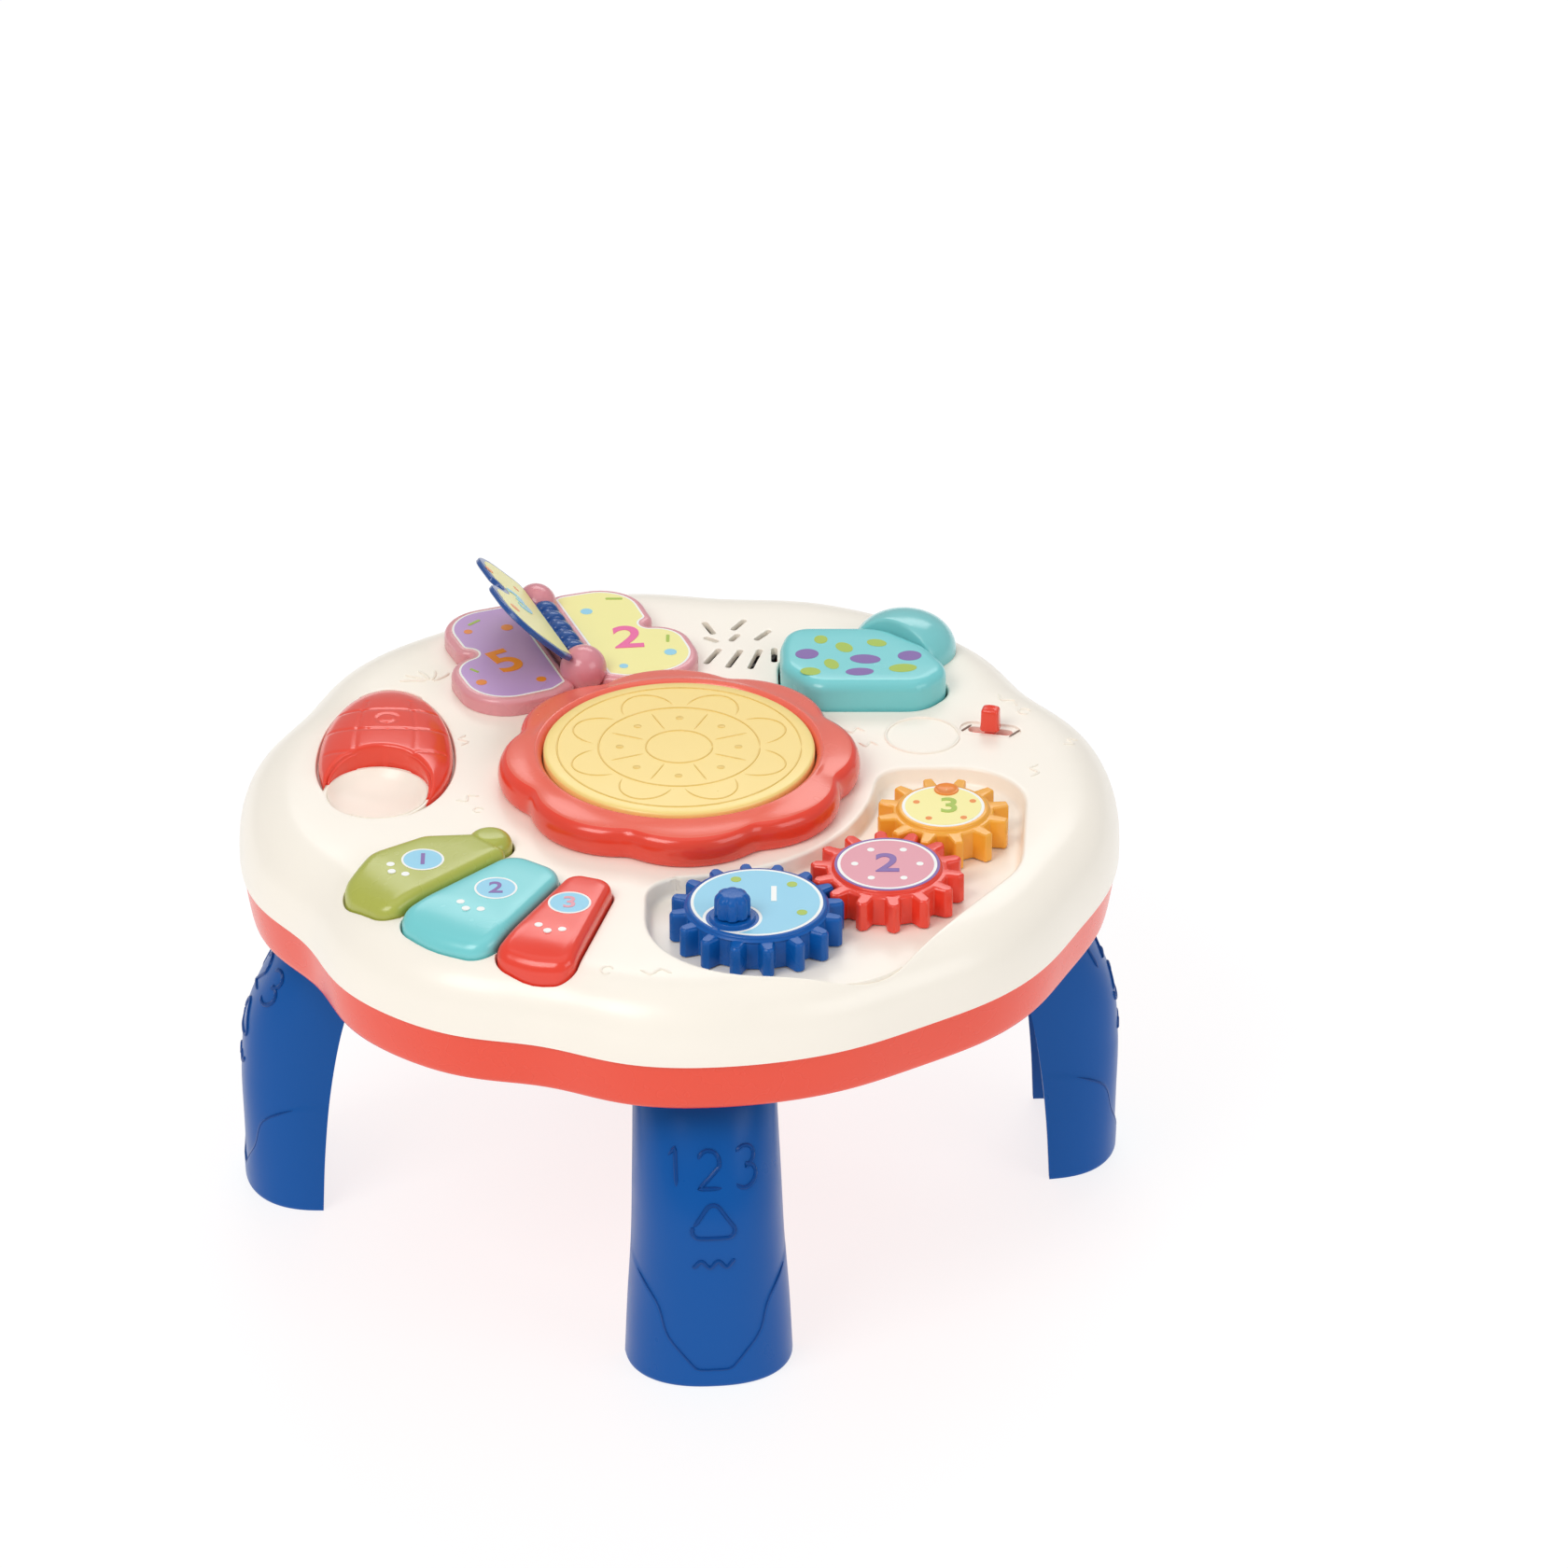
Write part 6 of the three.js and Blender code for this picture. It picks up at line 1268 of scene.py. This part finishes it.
def capped_plan(outline, cut, rings, pitch, top, path, wall):
    """A hollow cap over a plan: top gives the height of its outside, path its hem (inset, z)."""
    (x0, y0), (x1, y1) = outline.min(axis=0), outline.max(axis=0)
    grid = np.array([(x + (k % 2) * pitch / 2, y) for k, y in enumerate(np.arange(y0, y1, pitch * 0.87))
                     for x in np.arange(x0, x1, pitch)])
    grid = grid[inside(grid, rings[-1])]
    for loop in cut:
        grid = grid[~inside(grid, loop)]
    xy, tris, _ = sheet(grid, [outline, *rings, *cut], [outline], cut)
    z = top(xy)
    edge = xy[np.unique(np.array(edge_of(tris)))]
    near = np.exp(-np.array([np.hypot(*(edge - p).T).min() for p in xy]) / 2.5)
    inner = moved_in(xy, 2.2 * near)
    return double(xy, z, tris, set(range(len(xy))), inner, z - wall * (1 - 0.55 * near), path)


dome_teal = finish("dome_teal", "#86D8DA", 0.2, coat=0.35, clear=0.12)
button_rings = cup(lambda g: rounded(BUTTON, g, 5.0, 2.0), BUTTON_FOOT, BUTTON_TOP, 2.4, 5.6)
spot = plate([circle(1, 40)], [], 0, SPOT_DEPTH)
button_cap = capped(button_rings, (BUTTON_X, BUTTON_Y - 1), lambda xy: np.full(len(xy), BUTTON_TOP))
button_parts = [(*button_cap, teal),
                (*revolved(PLUNGER, 40, BUTTON_X, BUTTON_Y), teal),
                repeated(spot, SPOT_LEVEL, [(54, 88, 10, 5.2, 4.6), (79, 83.5, -6, 6.6, 4.0),
                                            (98, 86.5, 8, 5.0, 4.2), (76.5, 72.2, 4, 6.2, 3.4)],
                         lilac, 0.06, 2),
                repeated(spot, SPOT_LEVEL, [(60, 101, 0, 3.0, 3.8), (70, 94, 30, 3.4, 4.8),
                                            (64.5, 79, 20, 2.8, 4.4), (55.5, 72.5, -10, 4.4, 3.4),
                                            (95, 75.5, 6, 6.0, 3.6), (84, 98, -20, 4.2, 3.0)],
                         leaf_green, 0.06, 8)]
piece("teal_button_skin", button_parts, "button", ["teal_button"])
dome_rings = [circle(DOME_RADIUS * s, 180) for s in (0.9995, 0.997, 0.99, 0.975, 0.95, 0.91, 0.86, 0.8)]
dome_rings += [dome_cut(1.0 + g) for g in (0.3, 0.7, DOME_SOFT)] + [circle(DOME_RADIUS * 0.76, 120)]
dome, dome_faces = capped_plan(circle(DOME_RADIUS, 180), [dome_cut(1.0)], dome_rings, 1.6, dome_top,
                               [(0, 184.05), (2.0, 184.05)], 2.4)
piece("lamp_dome_skin", [(dome + (DOME_X, DOME_Y, 0), dome_faces, dome_teal)], "table", ["lamp_dome"])


# Lid. A glossy red shell, hinged at its back, with a round bite at its front that follows the rim of the
# bowl. Its lines are cut into it: two along it, three across and a small ring.
LID_FOOT, LID_RISE, LID_SOFT, LID_BITE = 184.3, 10.3, 1.6, 23.0
LINE_DEPTH, LINE_HALF = 0.5, 0.75
LID_PIN_Y, LID_PIN_Z = 70.4, 181.0
LID_PLACE = np.array([LID_X, LID_Y])


def lid_share(x, y):
    """0 in the middle of the lid, 1 at its edge."""
    return np.hypot(x / LID_HALF, y / np.where(y > 0, LID_BACK, LID_FRONT))


def lid_lines():
    t = np.linspace(-0.62, 0.75, 40)
    lines = [np.column_stack([side * (9.5 + 3.2 * np.cos(t * 2.2)), t * 55]) for side in (-1, 1)]
    x = np.linspace(-26, 26, 46)
    for y, bow in ((31, 4), (12, 6), (-8, 7)):
        lines.append(np.column_stack([x, y + bow * (x / 26) ** 2])[lid_share(x, y) < 0.9])
    a = np.linspace(0, 2 * np.pi, 30)
    return [*lines, np.column_stack([4.4 * np.cos(a), 22 + 4.4 * np.sin(a)])]


def lid_top(xy):
    rho = lid_share(*xy.T)
    bite = np.hypot(xy[:, 0] - (BOWL_X - LID_X), xy[:, 1] - (BOWL_Y - LID_Y)) - LID_BITE
    z = LID_FOOT + LID_RISE * np.sqrt(np.clip(1 - rho ** 2.2, 0, 1)) - edge_drop(bite, LID_SOFT)
    for line in lid_lines():
        near = np.array([np.hypot(*(line - p).T).min() for p in xy])
        z -= LINE_DEPTH * np.exp(-(near / LINE_HALF) ** 2) * (rho < 0.94)
    return z


lid_rings = [bitten(-g, LID_BITE + g) - LID_PLACE for g in (0.05, 0.2, 0.5, 0.9, 1.4, 2.1, 3.0)]
lid, lid_faces = capped_plan(bitten(0, LID_BITE) - LID_PLACE, [], lid_rings, 0.95, lid_top,
                             [(0, 181.8), (0.3, 181.5), (1.9, 181.5), (2.2, 181.8)], 2.2)
knuckle, knuckle_faces = along_y([(1.4, -6), (2.2, -6), (2.4, -5.8), (2.4, 5.8), (2.2, 6), (1.4, 6),
                                  (1.4, -6)], 40)
knuckle = knuckle[:, [1, 0, 2]] * (1, -1, 1) + (LID_X, LID_PIN_Y, LID_PIN_Z)
piece("flip_lid_skin", [(lid + (LID_X, LID_Y, 0), lid_faces, red), (knuckle, knuckle_faces, red),
                        (*box_part(-130, -118.6, 68.2, 70.6, 181.8, 186.3, 0.5), red)], "lid", ["flip_lid"])


# Slide switch. A red knob in a sunk track, on a neck with a plate under the top, and beside it two slanting
# marks in the track, dark as painted shade for two grooves.
KNOB_HIGH = 194.5
# Painted shade: a dark grey-brown that stands in for the shadow in the track's two slanting grooves.
track_groove_painted_shade = finish("track_groove_painted_shade", "#8A7468", 0.4)
knob_stack = stacked(lambda g: rounded(oblong(4.2, 3.5, 2.0), g), [
    (-0.5, 184.25), (0, 184.8), (-0.3, 188), *((-0.4 - i, KNOB_HIGH - d) for i, d in fillet(1.5, 7))])
slider_parts = [loft(knob_stack), box_part(-2.1, 2.1, -2.1, 2.1, 177, 185, 0.2),
                box_part(-8.5, 8.5, -4.5, 4.5, 178.9, 180.5, 0.3), box_part(-2, 2, -2, 2, 176.3, 179.2, 0.2)]
slider_parts += [stroke([(-2.2 + k * 0.55, y, KNOB_HIGH) for k in range(9)], 0.4) for y in (-1.6, 0, 1.6)]
piece("switch_slider_skin", [(turned_to(v, *SWITCH), f, red) for v, f in slider_parts], "slider",
      ["switch_slider"])


# Moulded relief of the top: a thin raised ring, a frond by the lid, little waves and curls. It is part of
# the ivory moulding, and the two dark marks of the switch track, painted shade for its grooves, are set in
# with it.
WAVES = ((74, 43, 12, 9), (80, 31, 190, 8), (140, 70, -35, 12), (166, 36, 70, 10), (-89, -16, 40, 10),
         (-92, 34, 100, 9), (10, -96, 15, 10), (0, 97, 10, 8), (-8, -160, 5, 13), (150, 8, 90, 11))
CURLS = ((66, 37, 2.2), (147, 60, 2.6), (-84, -26, 2.0), (21, -88, 2.2), (-28, -158, 2.4))


def on_shell(path, radius=0.55):
    path = np.asarray(path, float)
    return (*stroke(at_height(path, crown(path) + radius * 0.15), radius), cream)


a = np.linspace(0, 2 * np.pi, 90)
relief = [on_shell(np.column_stack([103 + 15.6 * np.cos(a), 38.4 + 15.6 * np.sin(a)]), 0.7)]
t = np.linspace(-1, 1, 26)
for x, y, turn, length in WAVES:
    relief.append(on_shell(turned_to(np.column_stack([t * length / 2, 1.6 * np.sin(t * 4.6)]), x, y, turn)))
t = np.linspace(0.15, 1, 18)
for lean in np.radians(30 + 32 * np.arange(5)):
    bent = lean + 0.35 * t
    relief.append(on_shell(np.column_stack([-108 + 13 * t * np.cos(bent), 86 + 10 * t * np.sin(bent)]), 0.7))
for x, y, r in CURLS:
    relief.append(on_shell([(x + r * math.cos(k / 4), y + r * math.sin(k / 4)) for k in range(22)], 0.5))
for x in (-10.6, 10.6):
    verts, faces = stroke([(x + s * 0.5, s, 183.2) for s in np.linspace(-3.6, 3.6, 14)], 0.5)
    relief.append((turned_to(verts, *SWITCH), faces, track_groove_painted_shade))
piece("top_relief", relief, "table", [])


# Screws of the housing. Six bought steel screws driven up from below into bosses of the top, with pan heads
# in the counterbores of the tray, each with a cross in its head drawn as a dark flat cross: painted shade for
# the recess.
HEAD_LOW, HEAD_TOP = 134.6, 137.0
SCREW = ((0, HEAD_LOW), (1.0, 134.65), (2.0, 134.9), (2.7, 135.4), (3.0, 136.2), (3.0, HEAD_TOP),
         (3.0, 137.05), (1.4, 137.05), (1.4, 150), (1.0, 156.5), (0, 158.4))
SCREW_TURN = 17
steel = finish("screw_steel", "#B9BCC0", 0.3, 0.04, 0.1, 0.0004, 0.05, metal=1.0, coat=0)
# Painted shade: a dark flat cross stands in for the shade inside each head's cross recess.
cross_shade_dark = finish("cross_painted_shade", "#4A4C50", 0.5, metal=0.6, coat=0)
cross_bar = loft(stacked(lambda g: rounded(oblong(1.9, 0.32, 0.1), g), ((0, HEAD_LOW - 0.1), (0, 134.72))))
screw_parts = []
for shape, more, look in ((revolved(SCREW, 36), 0, steel), (cross_bar, 0, cross_shade_dark),
                          (cross_bar, 90, cross_shade_dark)):
    places = [(x, y, SCREW_TURN * i + more, 1, 1) for i, (x, y) in enumerate(SCREWS)]
    screw_parts.append(repeated(shape, 0, places, look))
piece("housing_screws_skin", screw_parts, "table", ["housing_screw_%d" % i for i in range(1, 7)])


# Pads. Five black rubber domes on the boards, one under each plunger, which flattens them when it comes down;
# here each keeps the rest shape of its CAD form. Each is moulded in one piece and glued to its board.
PADS = {"drum_pad": ("drum_press", 0.6), "green_key_pad": ("green_key_press", 0.4),
        "teal_key_pad": ("teal_key_press", 0.4), "red_key_pad": ("red_key_press", 0.4),
        "button_pad": ("button_press", 0.6)}
rubber = finish("pad_rubber", "#3A3A3D", 0.6, 0.1, 0.4, 0.0005, coat=0)
for name, (joint, keep) in PADS.items():
    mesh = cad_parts[name].data.copy()
    work = bmesh.new()
    work.from_mesh(mesh)
    bmesh.ops.remove_doubles(work, verts=work.verts, dist=1e-6)
    work.to_mesh(mesh)
    work.free()
    mesh.materials.clear()
    mesh.materials.append(rubber)
    pad = linked(name + "_skin", mesh)
    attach(pad, "table")
    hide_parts(name)
    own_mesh(pad)


# Boards, cells, speaker, pins and small screws. Bought-in parts inside the housing, which keep their CAD
# forms: each gets the look of its material.
board, dark, cell, natural, lamp_clear = (finish(name, colour, *row, **more) for name, colour, row, more in (
    ("board_green", "#2F7D4B", (0.38, 0.25, 0.2, 0.002), {"coat": 0.3}),
    ("dark_plastic", "#2E3034", (0.4, 0.08, 0.3), {}),
    ("cell_jacket", "#C9A23C", (0.26, 0.08, 0.1, 0.0006), {"metal": 0.85, "coat": 0.2}),
    ("natural_plastic", "#EDE8DC", (0.34,), {}), ("lamp_clear", "#FFF3C4", (0.12,), {"clear": 0.5})))
INSIDE = {"board_screw": steel, "door_screw": steel, "_pin": steel, "_board": board, "_pad": rubber,
          "battery_door": band_red, "battery_": cell, "speaker": dark, "switch_body": dark,
          "retainer": natural, "lamp_led": lamp_clear}
for name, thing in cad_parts.items():
    look = next((look for word, look in INSIDE.items() if word in name), None)
    if look:
        thing.data.materials.clear()
        thing.data.materials.append(look)
